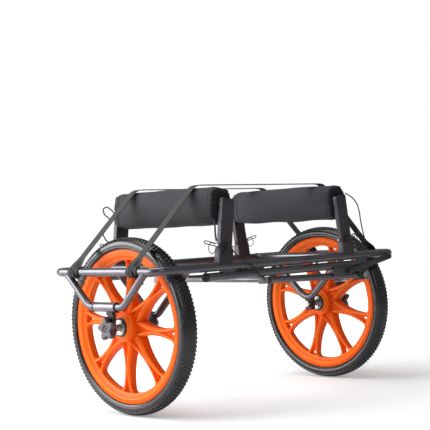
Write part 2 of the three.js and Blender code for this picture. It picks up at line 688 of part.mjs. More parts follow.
// A taut strap: looped round both outer bars and drawn over both pads
function strap(y, frames) {
  const around = [];
  const loopR = RAIL_R + 2 * GAP;
  for (const side of [-1, 1]) {
    for (let i = 0; i <= 8; i += 1) {
      const angle = (Math.PI * i) / 8;
      around.push(new THREE.Vector2(LOOP_HALF_X * side + loopR * Math.cos(angle), LOOP_Z + loopR * Math.sin(angle)));
    }
    for (const corner of padRing(side, 0)) {
      const world = corner.applyMatrix4(frames[side].matrixWorld);
      around.push(new THREE.Vector2(world.x, world.z + 1));
    }
  }
  const inner = upperHull(around);
  const outer = inner.map((point, i) => {
    const before = inner[Math.max(i - 1, 0)];
    const after = inner[Math.min(i + 1, inner.length - 1)];
    const normal = new THREE.Vector2(before.y - after.y, after.x - before.x).normalize();
    return point.clone().addScaledVector(normal, STRAP_T);
  });
  const band = new THREE.ExtrudeGeometry(new THREE.Shape([...inner, ...outer.reverse()]), {
    depth: STRAP_W, bevelEnabled: false,
  });
  band.rotateX(Math.PI / 2).translate(0, y + STRAP_W / 2, 0);
  const eye = (side) => ringAlongX(loopR + STRAP_T, loopR, -STRAP_W / 2, STRAP_W / 2, 16)
    .rotateZ(Math.PI / 2)
    .translate(LOOP_HALF_X * side, y, LOOP_Z);
  return join(band, eye(-1), eye(1));
}

function addFrame() {
  add('upper_loop', upperLoop(), blackTube);
  for (const [side, place] of [[-1, 'near'], [1, 'far']]) {
    add(`lower_rail_${place}`, lowerRailWithSaddles(side), blackTube);
    add(`rail_plug_${place}_left`, railEndPlug(side, -1), blackPlastic);
    add(`rail_plug_${place}_right`, railEndPlug(side, 1), blackPlastic);
    add(`stand_bracket_${place}`, standBracket(side), blackTube);
    add(`stand_stay_${place}`, stay(side), blackTube);
    add(`stand_pivot_pin_${place}`, standPivotPin(side), zinc);
    add(`stand_leg_${place}`, standLeg(side), blackTube);
    add(`stand_corner_${place}`, standCorner(side), greyPlastic);
  }
  add('stand_foot_bar', standFootBar(), silverTube);
}

function addSide(side) {
  const hand = side < 0 ? 'left' : 'right';
  add(`inner_arch_${hand}`, innerBarWithArch(side), blackTube);
  add(`outer_arch_${hand}`, outerArch(side), blackTube);
  add(`arch_sleeve_${hand}`, archSleeve(side), silverTube);
  add(`outer_dropout_${hand}`, outerDropout(side), blackPlastic);
  add(`inner_dropout_${hand}`, innerDropout(side), blackPlastic);
  add(`axle_bolt_${hand}`, axle(side), zinc);
  add(`axle_knob_${hand}`, knob(side), blackPlastic);
  add(`rim_${hand}`, rim(side), orangePlastic);
  add(`tyre_${hand}`, tyre(side), tyreRubber);
  add(`hub_${hand}`, hub(side), zinc);
}

function addBunk(side) {
  const hand = side < 0 ? 'left' : 'right';
  const frame = bunkFrame(side);
  for (const [end, place] of [[-1, 'near'], [1, 'far']]) {
    add(`socket_${place}_${hand}`, socket(frame, side, end), blackTube, frame);
    add(`post_${place}_${hand}`, post(end), blackTube, frame);
    add(`hitch_pin_${place}_${hand}`, hitchPin(side, end), zinc, frame);
  }
  add(`bunk_bar_${hand}`, bunkBar(), blackTube, frame);
  add(`pad_${hand}`, pad(side), padFabric, frame);
  return frame;
}

addFrame();
addSide(-1);
addSide(1);
const bunks = { [-1]: addBunk(-1), [1]: addBunk(1) };
add('stand_cord', standCord(), blackCord);
add('drawstring_far_left', farLeftDrawstring(), blackCord);
add('drawstring_near_left', nearLeftDrawstring(), blackCord);
add('drawstring_near_right', nearRightDrawstring(), blackCord);
add('tie_strap_near', strap(-STRAP_Y, bunks), webbing);
add('tie_strap_far', strap(STRAP_Y, bunks), webbing);

export default cart;
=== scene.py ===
"""Looks of a two-wheeled kayak cart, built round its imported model, in metres.

+X runs along the axle line, +Y is the way the cart rolls and +Z is up, as in the model.
"""

import math

import bmesh
import bpy
import numpy as np
from mathutils import Matrix, Vector


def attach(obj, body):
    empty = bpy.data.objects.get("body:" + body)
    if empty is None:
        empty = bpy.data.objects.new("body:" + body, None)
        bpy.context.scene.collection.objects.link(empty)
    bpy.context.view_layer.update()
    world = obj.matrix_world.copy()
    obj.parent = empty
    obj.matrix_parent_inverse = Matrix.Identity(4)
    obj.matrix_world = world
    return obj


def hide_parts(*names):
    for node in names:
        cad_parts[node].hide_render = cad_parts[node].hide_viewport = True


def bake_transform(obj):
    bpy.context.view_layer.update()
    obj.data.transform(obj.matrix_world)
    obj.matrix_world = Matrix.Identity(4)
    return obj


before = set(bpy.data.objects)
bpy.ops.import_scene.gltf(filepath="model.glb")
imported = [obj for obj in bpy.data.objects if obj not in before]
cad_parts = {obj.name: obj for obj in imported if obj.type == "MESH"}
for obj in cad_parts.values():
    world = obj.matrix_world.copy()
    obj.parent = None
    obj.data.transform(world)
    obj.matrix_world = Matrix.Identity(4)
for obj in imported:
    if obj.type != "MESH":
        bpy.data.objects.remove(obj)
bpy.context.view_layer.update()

MM = 0.001
SIDES = {"left": -1, "right": 1}
ENDS = {"near": -1, "far": 1}

# Camera, fitted to the two wheels and the straight tubes of the photo
PHOTO_WIDTH, FOCAL_PIXELS, SENSOR = 430, 1120.5209, 36
CAMERA_PLACE, FIT_TO_MODEL = (-1.957780, -1.894783, 0.342694), (-0.0165, 0, 0.200)
CAMERA_YAW, CAMERA_DOWN, CART_PITCH = math.radians(45.06771), math.radians(2.158167), 0.0662

# Wheels
HUB_Z, TRACK_HALF = 0.200, 0.3395
SPOKES, SPOKE_TURN = 8, {"left": 5.5, "right": 16.8}
KNOB_FACE_X, KNOB_TURN = 0.3998, math.radians(9.5)
TREAD_PITCHES, BLOCK_HEIGHT = 130, 1.7

# Spokes, in millimetres: radii of the waist, of the crests' nearest point and of the split into two legs
WAIST_R, CREST_R, SPLIT_R = 98, 91, 131
CREST_HEIGHT, CREST_WIDTH, WINDOW_HALF = 1.9, 1.15, 7.6

# Frame
RAIL_R, ARCH_R, WELD_R = 0.0095, 0.0085, 0.0014
LOOP_X, LOOP_Y, LOOP_Z = 0.410, 0.178, 0.325
LOOP_BEND, OUTER_ARCH_Z = 0.032, 0.2485
BAR_X, LOWER_Z = 0.2715, 0.304
LOWER_LEFT_X, LOWER_RIGHT_X = -0.272, 0.292

# Stand: its legs run from the pivots to the foot bar
PIVOT_X, PIVOT_Z, FOOT_X, FOOT_Z = 0.267, 0.276, -0.086, 0.2865

# Bunks: their own frame leans in about the Y axis
BUNK_X, BUNK_Z, LEAN = 0.2175, 0.3345, math.radians(8)
PIN_UP = 0.0355
PAD_OUT, PAD_UP, PAD_TILT = 0.005, 0.1255, math.radians(3)
PAD_HALF_W, PAD_HALF_H, PAD_HALF_L = 0.036, 0.044, 0.168
PUFF_FRAMES = 20

# Straps
STRAP_WIDTH, STRAP_THICK, STRAP_PLACES = 0.021, 0.0017, {"near": -0.100, "far": 0.100}
FOLD_STEP, FOLD_HEIGHT, OVER_PAD_X = 0.0125, 0.0032, 0.235


# ---- Camera, light and floor

def photo_camera():
    """Camera fitted to the photo, whose cart is pitched. Here the cart is level, so the camera turns."""
    yaw, down = CAMERA_YAW, CAMERA_DOWN
    level = Matrix.Rotation(CART_PITCH, 3, "X")
    forward = Vector((math.sin(yaw) * math.cos(down), math.cos(yaw) * math.cos(down), -math.sin(down)))
    right = Vector((math.cos(yaw), -math.sin(yaw), 0))
    up = right.cross(forward)
    data = bpy.data.cameras.new("photo_camera")
    data.sensor_width, data.lens = SENSOR, FOCAL_PIXELS * SENSOR / PHOTO_WIDTH
    data.clip_start, data.clip_end = 0.05, 60
    camera = bpy.data.objects.new("photo_camera", data)
    axes = Matrix((level @ right, level @ up, -(level @ forward))).transposed()
    place = level @ Vector(CAMERA_PLACE) + Vector(FIT_TO_MODEL)
    camera.matrix_world = Matrix.Translation(place) @ axes.to_4x4()
    bpy.context.scene.collection.objects.link(camera)
    bpy.context.scene.camera = camera


def linear(red, green, blue):
    """A colour picked in 0 to 255 display values, as the linear values that a shader takes."""
    c = np.array((red, green, blue)) / 255
    return tuple(np.where(c <= 0.04045, c / 12.92, ((c + 0.055) / 1.055) ** 2.4)) + (1.0,)


class Finish:
    """A material with one Principled shader.

    set, link and bump change the shader. Every other method adds a node and gives back its output.
    """

    def __init__(self, name, colour, roughness, metallic=0.0, **sockets):
        self.material = bpy.data.materials.new(name)
        self.material.use_nodes = True
        self.tree = self.material.node_tree
        self.shader = self.tree.nodes["Principled BSDF"]
        self.set("Base Color", linear(*colour))
        self.set("Roughness", roughness)
        self.set("Metallic", metallic)
        for socket, value in sockets.items():
            self.set(socket.replace("_", " "), value)

    def set(self, socket, value):
        self.shader.inputs[socket].default_value = value

    def node(self, kind, output=0, properties=None, **inputs):
        made = self.tree.nodes.new(kind)
        for name, value in (properties or {}).items():
            setattr(made, name, value)
        for key, value in inputs.items():
            numbered = key[0] == "i" and key[1:].isdigit()
            socket = made.inputs[int(key[1:]) if numbered else key.replace("_", " ")]
            if isinstance(value, bpy.types.NodeSocket):
                self.tree.links.new(value, socket)
            else:
                socket.default_value = value
        return made.outputs[output]

    def where(self, kind="Object"):
        return self.tree.nodes.new("ShaderNodeTexCoord").outputs[kind]

    def noise(self, scale, detail=3.0, roughness=0.55, stretch=None):
        place = self.where()
        if stretch:
            place = self.node("ShaderNodeMapping", Vector=place, Scale=stretch)
        return self.node("ShaderNodeTexNoise", Vector=place, Scale=scale, Detail=detail, Roughness=roughness)

    def ramp(self, value, low, high, start=0.0, end=1.0):
        return self.node("ShaderNodeMapRange", Value=value, From_Min=low, From_Max=high,
                         To_Min=start, To_Max=end)

    def mix(self, amount, first, second):
        """Mix of two colours, each an output or a colour in display values."""
        made = self.tree.nodes.new("ShaderNodeMix")
        made.data_type = "RGBA"
        self.tree.links.new(amount, made.inputs[0])
        for socket, value in ((made.inputs[6], first), (made.inputs[7], second)):
            if isinstance(value, bpy.types.NodeSocket):
                self.tree.links.new(value, socket)
            else:
                socket.default_value = linear(*value)
        return made.outputs[2]

    def over(self, mask, share, under, colour):
        """A colour laid over another by a share of the mask."""
        return self.mix(self.maths("MULTIPLY", mask, share), under, colour)

    def maths(self, operation, first, second=0.0):
        return self.node("ShaderNodeMath", properties={"operation": operation}, i0=first, i1=second)

    def link(self, socket, output):
        self.tree.links.new(output, self.shader.inputs[socket])

    def bump(self, height, strength, distance):
        self.link("Normal", self.node("ShaderNodeBump", Height=height, Strength=strength, Distance=distance))


def stage_and_light():
    """Pale floor that turns white for the camera but keeps the shadow, and large soft lamps."""
    corners = [(-6, -6, 0), (6, -6, 0), (6, 6, 0), (-6, 6, 0)]
    mesh = bpy.data.meshes.new("floor")
    mesh.from_pydata(corners, [], [(0, 1, 2, 3)])
    floor = bpy.data.objects.new("floor", mesh)
    bpy.context.scene.collection.objects.link(floor)
    pale = Finish("pale_floor", (238, 238, 239), 0.9)
    pale.link("Roughness", pale.ramp(pale.noise(30), 0.3, 0.7, 0.85, 0.95))
    seen = pale.tree.nodes.new("ShaderNodeLightPath").outputs["Is Camera Ray"]
    away = pale.node("ShaderNodeVectorMath", 1, {"operation": "LENGTH"}, i0=pale.where())
    pale.link("Emission Strength", pale.maths("MULTIPLY", seen, pale.ramp(away, 0.75, 1.7, 0.26, 1.0)))
    pale.set("Emission Color", (1, 1, 1, 1))
    mesh.materials.append(pale.material)

    scene = bpy.context.scene
    scene.view_settings.view_transform = "Standard"
    world = bpy.data.worlds.new("studio")
    scene.world = world
    world.use_nodes = True
    tree = world.node_tree
    background = tree.nodes["Background"]
    path = tree.nodes.new("ShaderNodeLightPath")
    seen = tree.nodes.new("ShaderNodeMath")
    seen.operation = "MAXIMUM"
    tree.links.new(path.outputs["Is Camera Ray"], seen.inputs[0])
    tree.links.new(path.outputs["Is Transmission Ray"], seen.inputs[1])
    level = tree.nodes.new("ShaderNodeMapRange")
    tree.links.new(seen.outputs[0], level.inputs["Value"])
    level.inputs["To Min"].default_value, level.inputs["To Max"].default_value = 0.26, 1.0
    background.inputs["Color"].default_value = (1, 1, 1, 1)
    tree.links.new(level.outputs[0], background.inputs["Strength"])

    def lamp(name, place, target, size, power):
        """Soft rectangular lamp that faces its target."""
        data = bpy.data.lights.new(name, "AREA")
        data.shape, data.size, data.size_y, data.energy = "RECTANGLE", size[0], size[1], power
        light = bpy.data.objects.new(name, data)
        aim = (Vector(target) - Vector(place)).to_track_quat("-Z", "Y")
        light.matrix_world = Matrix.Translation(place) @ aim.to_matrix().to_4x4()
        scene.collection.objects.link(light)

    lamp("side_box", (-1.75, 1.35, 0.95), (0, 0, 0.22), (2.2, 1.5), 76)
    lamp("top_box", (-0.5, 0.5, 2.6), (0, 0, 0.2), (1.8, 1.8), 40)
    lamp("front_fill", (-1.7, -2.3, 1.7), (0.1, 0, 0.25), (1.2, 1.2), 9)


# ---- Surfaces on a grid

def surface(name, grid, finish, along=False, caps=False, angle=38):
    """Mesh of a grid of points: rows follow the path and columns go round the section.

    The last column joins the first. along joins the last row to the first as well, and caps closes
    both ends instead. The faces are turned so that the volume they enclose is positive. The UV map
    holds the distance round the section and the distance along the path, in metres.
    """
    rows, cols = grid.shape[:2]
    index = np.arange(rows * cols).reshape(rows, cols)
    index, points = np.concatenate([index, index[:, :1]], 1), np.concatenate([grid, grid[:, :1]], 1)
    if along:
        index, points = np.concatenate([index, index[:1]], 0), np.concatenate([points, points[:1]], 0)
    u = np.linalg.norm(np.diff(points, axis=1), axis=2).mean(0)
    v = np.linalg.norm(np.diff(points, axis=0), axis=2).mean(1)
    u, v = np.concatenate([[0], np.cumsum(u)]), np.concatenate([[0], np.cumsum(v)])
    uv = np.stack(np.meshgrid(u, v), -1)
    corner = lambda a: np.stack([a[:-1, :-1], a[:-1, 1:], a[1:, 1:], a[1:, :-1]], 2)
    quads = corner(index).reshape(-1, 4)
    uvs = corner(uv).reshape(-1, 4, 2)
    flat = grid.reshape(-1, 3)
    centred = flat - flat.mean(0)
    a, b, c, d = (centred[quads[:, k]] for k in range(4))
    volume = (a * np.cross(b, c)).sum() + (a * np.cross(c, d)).sum()
    ends = []
    if caps:
        ends = [index[0, :cols][::-1], index[-1, :cols]]
        for ring in ends:
            p = centred[ring]
            volume += (p[0] * np.cross(p[1:-1], p[2:])).sum()
    if volume < 0:
        quads, uvs, ends = quads[:, ::-1], uvs[:, ::-1], [ring[::-1] for ring in ends]
    mesh = bpy.data.meshes.new(name)
    mesh.from_pydata(flat.tolist(), [], quads.tolist() + [ring.tolist() for ring in ends])
    layer = mesh.uv_layers.new(name="UVMap")
    loops = np.zeros((len(mesh.loops), 2))
    loops[: uvs.shape[0] * 4] = uvs.reshape(-1, 2)
    layer.data.foreach_set("uv", loops.ravel())
    mesh.shade_smooth()
    mesh.set_sharp_from_angle(angle=math.radians(angle))
    mesh.materials.append(finish.material)
    made = bpy.data.objects.new(name, mesh)
    bpy.context.scene.collection.objects.link(made)
    return made


def read_points(mesh):
    """A mesh's points as rows of x, y, z."""
    flat = np.empty(len(mesh.vertices) * 3)
    mesh.vertices.foreach_get("co", flat)
    return flat.reshape(-1, 3)


def arcs(corners, radius, steps, closed=False):
    """A line of points with every inner corner turned on an arc of the given radius."""
    corners = [np.array(c, float) for c in corners]
    count = len(corners)
    radii = radius if hasattr(radius, "__len__") else [radius] * count
    stations = [] if closed else [corners[0][None]]
    for i in range(0 if closed else 1, count if closed else count - 1):
        before, here, after = corners[i - 1], corners[i], corners[(i + 1) % count]
        into = (here - before) / np.linalg.norm(here - before)
        out = (after - here) / np.linalg.norm(after - here)
        turn = math.acos(np.clip(into @ out, -1, 1))
        if turn < 1e-6:
            stations.append(here[None])
            continue
        side = out - into * (out @ into)
        side /= np.linalg.norm(side)
        start = here - into * radii[i] * math.tan(turn / 2)
        angle = np.linspace(0, turn, steps + 1)[:, None]
        stations.append(start + radii[i] * (np.sin(angle) * into + (1 - np.cos(angle)) * side))
    if not closed:
        stations.append(corners[-1][None])
    return np.concatenate(stations)


def carry(path, section, across, closed=False, scale=None):
    """Carries a flat section along a path. across is a direction that is never along the path.

    A section point (p, q) goes to the path's point plus p times (across made square to the path) plus
    q times the third direction. scale multiplies the section row by row.
    """
    if closed:
        ahead = np.roll(path, -1, 0) - np.roll(path, 1, 0)
    else:
        ahead = np.gradient(path, axis=0)
    ahead /= np.linalg.norm(ahead, axis=1)[:, None]
    across = np.broadcast_to(np.asarray(across, float), path.shape)
    first = across - (across * ahead).sum(1)[:, None] * ahead
    first /= np.linalg.norm(first, axis=1)[:, None]
    second = np.cross(ahead, first)
    section = np.broadcast_to(section, (len(path),) + section.shape[-2:])
    if scale is not None:
        section = section * np.asarray(scale, float)[:, None, None]
    return path[:, None] + section[..., :1] * first[:, None] + section[..., 1:] * second[:, None]


def ring(radius, sides):
    """Flat circle of points, the section of a round tube."""
    angle = np.linspace(0, 2 * np.pi, sides, endpoint=False)
    return np.stack([radius * np.cos(angle), radius * np.sin(angle)], 1)


def eased_ends(path, edge):
    """The path with a short extra step at both ends, where a tube's end faces are rounded."""
    first = path[0] + (path[1] - path[0]) / np.linalg.norm(path[1] - path[0]) * edge
    last = path[-1] + (path[-2] - path[-1]) / np.linalg.norm(path[-2] - path[-1]) * edge
    return np.concatenate([path[:1], first[None], path[1:-1], last[None], path[-1:]])


def tube(name, path, radius, finish, across, closed=False, sides=32, edge=0.0006):
    """Round tube along a path, with a small round on both end faces."""
    if closed:
        return surface(name, carry(path, ring(radius, sides), across, True), finish, along=True)
    eased = eased_ends(path, edge)
    scale = np.ones(len(eased))
    scale[[0, -1]] = 1 - edge / radius
    return surface(name, carry(eased, ring(radius, sides), across, scale=scale), finish, caps=True)


def rod(name, start, end, radius, finish, across=(0, 0, 1), **kind):
    """Straight tube between two points."""
    return tube(name, np.array([start, end], float), radius, finish, across, **kind)


def turned(name, profile, finish, centre, axis="X", segments=96, closed=True, angle=38, edge=0.0006):
    """Solid of revolution. A profile point is (radius, place along the axis); edge rounds the corners."""
    line = np.array(profile, float)
    if edge:
        line = arcs(np.c_[line, np.zeros(len(line))], edge, 3, closed=closed)[:, :2]
    theta = np.linspace(0, 2 * np.pi, segments, endpoint=False)
    r, h = line[:, 0][:, None], np.repeat(line[:, 1][:, None], segments, 1)
    c, s = r * np.cos(theta), r * np.sin(theta)
    grid = np.stack((h, c, s) if axis == "X" else (s, h, c), -1) + np.array(centre)
    return surface(name, grid, finish, along=closed, caps=not closed, angle=angle)


def softened(node, finish, width, segments=2):
    """A copy of a solid's mesh with its corners merged and its edges rounded, which stands for the node."""
    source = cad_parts[node]
    made = bpy.data.objects.new(node + "_finished", source.data.copy())
    bpy.context.scene.collection.objects.link(made)
    work = bmesh.new()
    work.from_mesh(made.data)
    bmesh.ops.remove_doubles(work, verts=work.verts, dist=2e-5)
    bmesh.ops.dissolve_limit(work, angle_limit=math.radians(2), verts=work.verts, edges=work.edges)
    work.to_mesh(made.data)
    work.free()
    made.data.materials.clear()
    made.data.materials.append(finish.material)
    made.data.shade_smooth()
    bevel = made.modifiers.new("rounded_edges", "BEVEL")
    bevel.width, bevel.segments, bevel.limit_method = width, segments, "ANGLE"
    bevel.angle_limit, bevel.harden_normals = math.radians(32), True
    return made


def on(body, obj, slot, *nodes):
    """Puts a piece on its body and hides the solids that it stands for. The argument slot is not used."""
    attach(obj, body)
    if nodes:
        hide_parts(*nodes)


def leaning(points, side):
    """Turns points of a bunk's own frame, which leans in, to the cart's frame."""
    turn = LEAN * -side
    x, y, z = np.moveaxis(np.asarray(points, float), -1, 0)
    return np.stack([
        BUNK_X * side + x * math.cos(turn) + z * math.sin(turn), y,
        BUNK_Z - x * math.sin(turn) + z * math.cos(turn),
    ], -1)


# ---- Finishes

def black_tube_finish():
    """Satin black coat: fine orange peel, slow colour drift and dull scuffs."""
    coat = Finish("black_tube_coat", (90, 88, 93), 0.3, 0.75, Coat_Weight=0.25)
    drift = coat.ramp(coat.noise(7, 4), 0.35, 0.65)
    scuff = coat.ramp(coat.noise(95, 6, 0.7, stretch=(0.35, 1, 1)), 0.62, 0.74)
    colour = coat.mix(drift, (86, 84, 89), (104, 102, 108))
    coat.link("Base Color", coat.over(scuff, 0.35, colour, (138, 136, 142)))
    dull = coat.maths("MULTIPLY", scuff, 0.22)
    coat.link("Roughness", coat.maths("ADD", coat.ramp(drift, 0, 1, 0.25, 0.34), dull))
    coat.bump(coat.noise(1500, 2), 0.12, 0.0002)
    return coat


def flat_steel_finish():
    """The posts and flat bars: a duller grey coat than the tubes."""
    coat = Finish("flat_bar_coat", (66, 63, 69), 0.42, 0.45)
    drift = coat.ramp(coat.noise(12, 4), 0.35, 0.65)
    scuff = coat.ramp(coat.noise(160, 6, 0.7, stretch=(1, 1, 0.3)), 0.63, 0.75)
    colour = coat.mix(drift, (58, 55, 61), (72, 69, 75))
    coat.link("Base Color", coat.over(scuff, 0.3, colour, (112, 109, 116)))
    coat.link("Roughness", coat.ramp(drift, 0, 1, 0.4, 0.52))
    coat.bump(coat.noise(1800, 2), 0.15, 0.0002)
    return coat


def sleeve_finish():
    """Bright satin metal, drawn along its length, which is Y."""
    metal = Finish("sleeve_metal", (150, 150, 154), 0.3, 0.85)
    draw = metal.noise(420, 3, 0.6, stretch=(1, 0.02, 1))
    stain = metal.ramp(metal.noise(40, 5), 0.4, 0.7)
    colour = metal.mix(draw, (106, 106, 111), (142, 142, 147))
    metal.link("Base Color", metal.over(stain, 0.3, colour, (96, 95, 100)))
    metal.link("Roughness", metal.ramp(draw, 0.3, 0.7, 0.24, 0.4))
    metal.bump(draw, 0.2, 0.0001)
    return metal


def zinc_finish():
    """Bright plated steel with a cloudy, slightly yellow spangle."""
    metal = Finish("zinc_plate", (186, 186, 190), 0.25, 1.0)
    cloud = metal.noise(260, 4, 0.6)
    metal.link("Base Color", metal.mix(cloud, (168, 167, 169), (206, 205, 201)))
    metal.link("Roughness", metal.ramp(cloud, 0.3, 0.7, 0.18, 0.36))
    metal.bump(metal.noise(1400, 2), 0.15, 0.0001)
    return metal


def wire_finish():
    """Grey spring wire, duller than the plated parts, with dark draw marks."""
    metal = Finish("spring_wire", (120, 119, 122), 0.32, 0.9)
    marks = metal.noise(700, 4, 0.65)
    metal.link("Base Color", metal.mix(marks, (48, 47, 50), (92, 91, 94)))
    metal.link("Roughness", metal.ramp(marks, 0.3, 0.7, 0.26, 0.45))
    metal.bump(marks, 0.2, 0.0001)
    return metal


def moulded_finish(name, dark, light, low, high):
    """Moulded plastic: a fine spark-eroded grain and a slow drift in colour."""
    plastic = Finish(name, dark, low)
    drift = plastic.ramp(plastic.noise(24, 4), 0.35, 0.65)
    plastic.link("Base Color", plastic.mix(drift, dark, light))
    plastic.link("Roughness", plastic.ramp(drift, 0, 1, low, high))
    plastic.bump(plastic.noise(2200, 2), 0.2, 0.00015)
    return plastic


def corner_finish():
    """The stand's corner: light grey sleeve on its left half and black socket on its right half."""
    plastic = Finish("corner_plastic", (120, 119, 124), 0.5)
    x = plastic.node("ShaderNodeSeparateXYZ", Vector=plastic.where())
    half = plastic.ramp(x, -0.0862, -0.0858)
    grain = plastic.noise(60, 4)
    grey = plastic.mix(grain, (112, 111, 116), (140, 139, 144))
    plastic.link("Base Color", plastic.mix(half, grey, (40, 39, 43)))
    plastic.link("Roughness", plastic.ramp(grain, 0.3, 0.7, 0.42, 0.58))
    plastic.bump(plastic.noise(1900, 2), 0.2, 0.0002)
    return plastic


def orange_finish():
    """Orange wheel moulding: flow marks, a little dust, and a painted highlight, a pale orange that the
    attribute crest lays on edges.
    """
    plastic = Finish("orange_moulding", (236, 104, 4), 0.36, Specular_IOR_Level=0.16)
    flow = plastic.noise(18, 5, 0.6)
    dust = plastic.ramp(plastic.noise(70, 6, 0.7), 0.6, 0.78)
    colour = plastic.mix(flow, (234, 84, 0), (243, 98, 2))
    colour = plastic.over(dust, 0.08, colour, (226, 150, 90))
    # Painted highlight: the attribute crest lays a pale orange on the spokes' crests and on the rim's and
    # boss's edges.
    crest = plastic.node("ShaderNodeAttribute", 2, {"attribute_name": "crest"})
    plastic.link("Base Color", plastic.over(crest, 0.75, colour, (255, 172, 84)))
    plastic.link("Roughness", plastic.ramp(flow, 0.3, 0.7, 0.33, 0.47))
    plastic.bump(plastic.noise(1300, 2), 0.12, 0.00015)
    return plastic


def rubber_finish():
    """Tyre rubber: grey bloom on the sidewall and dust in the grain."""
    rubber = Finish("tyre_rubber", (28, 27, 30), 0.3, Specular_IOR_Level=0.6)
    bloom = rubber.ramp(rubber.noise(26, 6, 0.65), 0.4, 0.7)
    fine = rubber.noise(520, 4, 0.6)
    colour = rubber.mix(bloom, (15, 14, 18), (29, 27, 33))
    rubber.link("Base Color", rubber.over(fine, 0.2, colour, (46, 44, 51)))
    rubber.link("Roughness", rubber.ramp(bloom, 0, 1, 0.2, 0.33))
    rubber.bump(rubber.noise(1700, 3), 0.22, 0.00025)
    return rubber


def pad_finish():
    """Plain woven nylon over foam: a thread each 0.9 mm both ways, worn paler in patches, with painted shade
    that darkens both gathered ends.
    """
    cloth = Finish("pad_nylon", (48, 45, 50), 0.8, Specular_IOR_Level=0.3,
                   Sheen_Weight=0.04, Sheen_Roughness=0.5)
    worn = cloth.ramp(cloth.noise(16, 6, 0.65), 0.35, 0.7)
    fibre = cloth.noise(900, 3)
    colour = cloth.mix(worn, (41, 38, 43), (53, 50, 56))
    colour = cloth.over(fibre, 0.3, colour, (64, 60, 67))
    # Painted shade: the last 13 mm at both ends of the pad turn near black.
    along_pad = cloth.node("ShaderNodeSeparateXYZ", 1, Vector=cloth.where())
    painted_end_shade = cloth.ramp(cloth.maths("ABSOLUTE", along_pad), 0.155, 0.168, 0.0, 0.72)
    cloth.link("Base Color", cloth.mix(painted_end_shade, colour, (24, 22, 25)))
    cloth.link("Roughness", cloth.ramp(worn, 0, 1, 0.72, 0.9))
    step = math.pi / 0.0009
    place = cloth.node("ShaderNodeSeparateXYZ", Vector=cloth.where())
    along = cloth.maths("SINE", cloth.maths("MULTIPLY", place.node.outputs[1], step))
    rise = cloth.maths("ADD", place.node.outputs[0], place.node.outputs[2])
    across = cloth.maths("SINE", cloth.maths("MULTIPLY", rise, step))
    cloth.bump(cloth.maths("MULTIPLY", along, across), 0.35, 0.00012)
    return cloth


def webbing_finish(name, dark, light, worn):
    """Polyester webbing: ribs across it each 1.7 mm, warp threads along it. U is across and V along."""
    web = Finish(name, dark, 0.7)
    place = web.node("ShaderNodeSeparateXYZ", Vector=web.where("UV"))
    warp = web.maths("SINE", web.maths("MULTIPLY", place, 2 * math.pi / 0.0014))
    weft = web.maths("SINE", web.maths("MULTIPLY", place.node.outputs[1], 2 * math.pi / 0.0017))
    woven = web.maths("MULTIPLY", warp, weft)
    wear = web.ramp(web.noise(60, 5), 0.4, 0.7)
    colour = web.mix(web.ramp(woven, -1, 1), dark, light)
    web.link("Base Color", web.over(wear, 0.3, colour, worn))
    web.link("Roughness", web.ramp(wear, 0, 1, 0.6, 0.8))
    web.bump(woven, 0.6, 0.0003)
    return web


def cord_finish():
    """Braided cord: two sets of strands that cross at an angle; U is round the cord, V along it."""
    braid = Finish("cord_braid", (34, 33, 36), 0.75)
    place = braid.node("ShaderNodeSeparateXYZ", Vector=braid.where("UV"))
    u, v = place, place.node.outputs[1]
    step = 2 * math.pi / 0.0024
    rising = braid.maths("SINE", braid.maths("MULTIPLY", braid.maths("ADD", u, v), step))
    falling = braid.maths("SINE", braid.maths("MULTIPLY", braid.maths("SUBTRACT", u, v), step))
    strands = braid.maths("MULTIPLY", rising, falling)
    braid.link("Base Color", braid.mix(braid.ramp(strands, -1, 1), (26, 25, 28), (52, 51, 55)))
    braid.link("Roughness", braid.ramp(strands, -1, 1, 0.68, 0.84))
    braid.bump(strands, 0.5, 0.0003)
    return braid


TUBE, FLAT = black_tube_finish(), flat_steel_finish()
SLEEVE, ZINC, WIRE = sleeve_finish(), zinc_finish(), wire_finish()
PLASTIC = moulded_finish("black_moulding", (27, 26, 29), (42, 41, 45), 0.4, 0.55)
KNOB = moulded_finish("knob_moulding", (70, 67, 73), (90, 87, 94), 0.38, 0.52)
CORNER, ORANGE, RUBBER, PAD = corner_finish(), orange_finish(), rubber_finish(), pad_finish()
WEBBING = webbing_finish("strap_webbing", (28, 29, 28), (52, 54, 52), (70, 72, 69))
# A darker copy of the strap's webbing, painted shade, for the turns round the end bars and the tails.
SHADED_WEBBING = webbing_finish("strap_loop_webbing_shaded", (18, 18, 19), (34, 35, 34), (46, 47, 45))
CORD = cord_finish()


# ---- Cords

def smooth_line(points):
    """A Catmull-Rom line through the points, in eight steps from each to the next."""
    p = np.array(points, float)
    p = np.concatenate([2 * p[:1] - p[1:2], p, 2 * p[-1:] - p[-2:-1]])
    t = np.linspace(0, 1, 8, endpoint=False)[None, :, None]
    a, b, c, d = (p[i : len(p) - 3 + i, None] for i in range(4))
    line = 0.5 * (2 * b + (c - a) * t + (2 * a - 5 * b + 4 * c - d) * t**2 + (3 * b - a - 3 * c + d) * t**3)
    return np.concatenate([line.reshape(-1, 3), p[-2:-1]])


def free_cord(name, node, points, radius, body):
    """A limp cord along its route."""
    line = smooth_line(np.array(points) * MM)
    made = tube(name, line, radius, CORD, (0.2, 1, 0.1), sides=12, edge=0.0004)
    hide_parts(node)
    if body:
        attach(made, body)
    return made


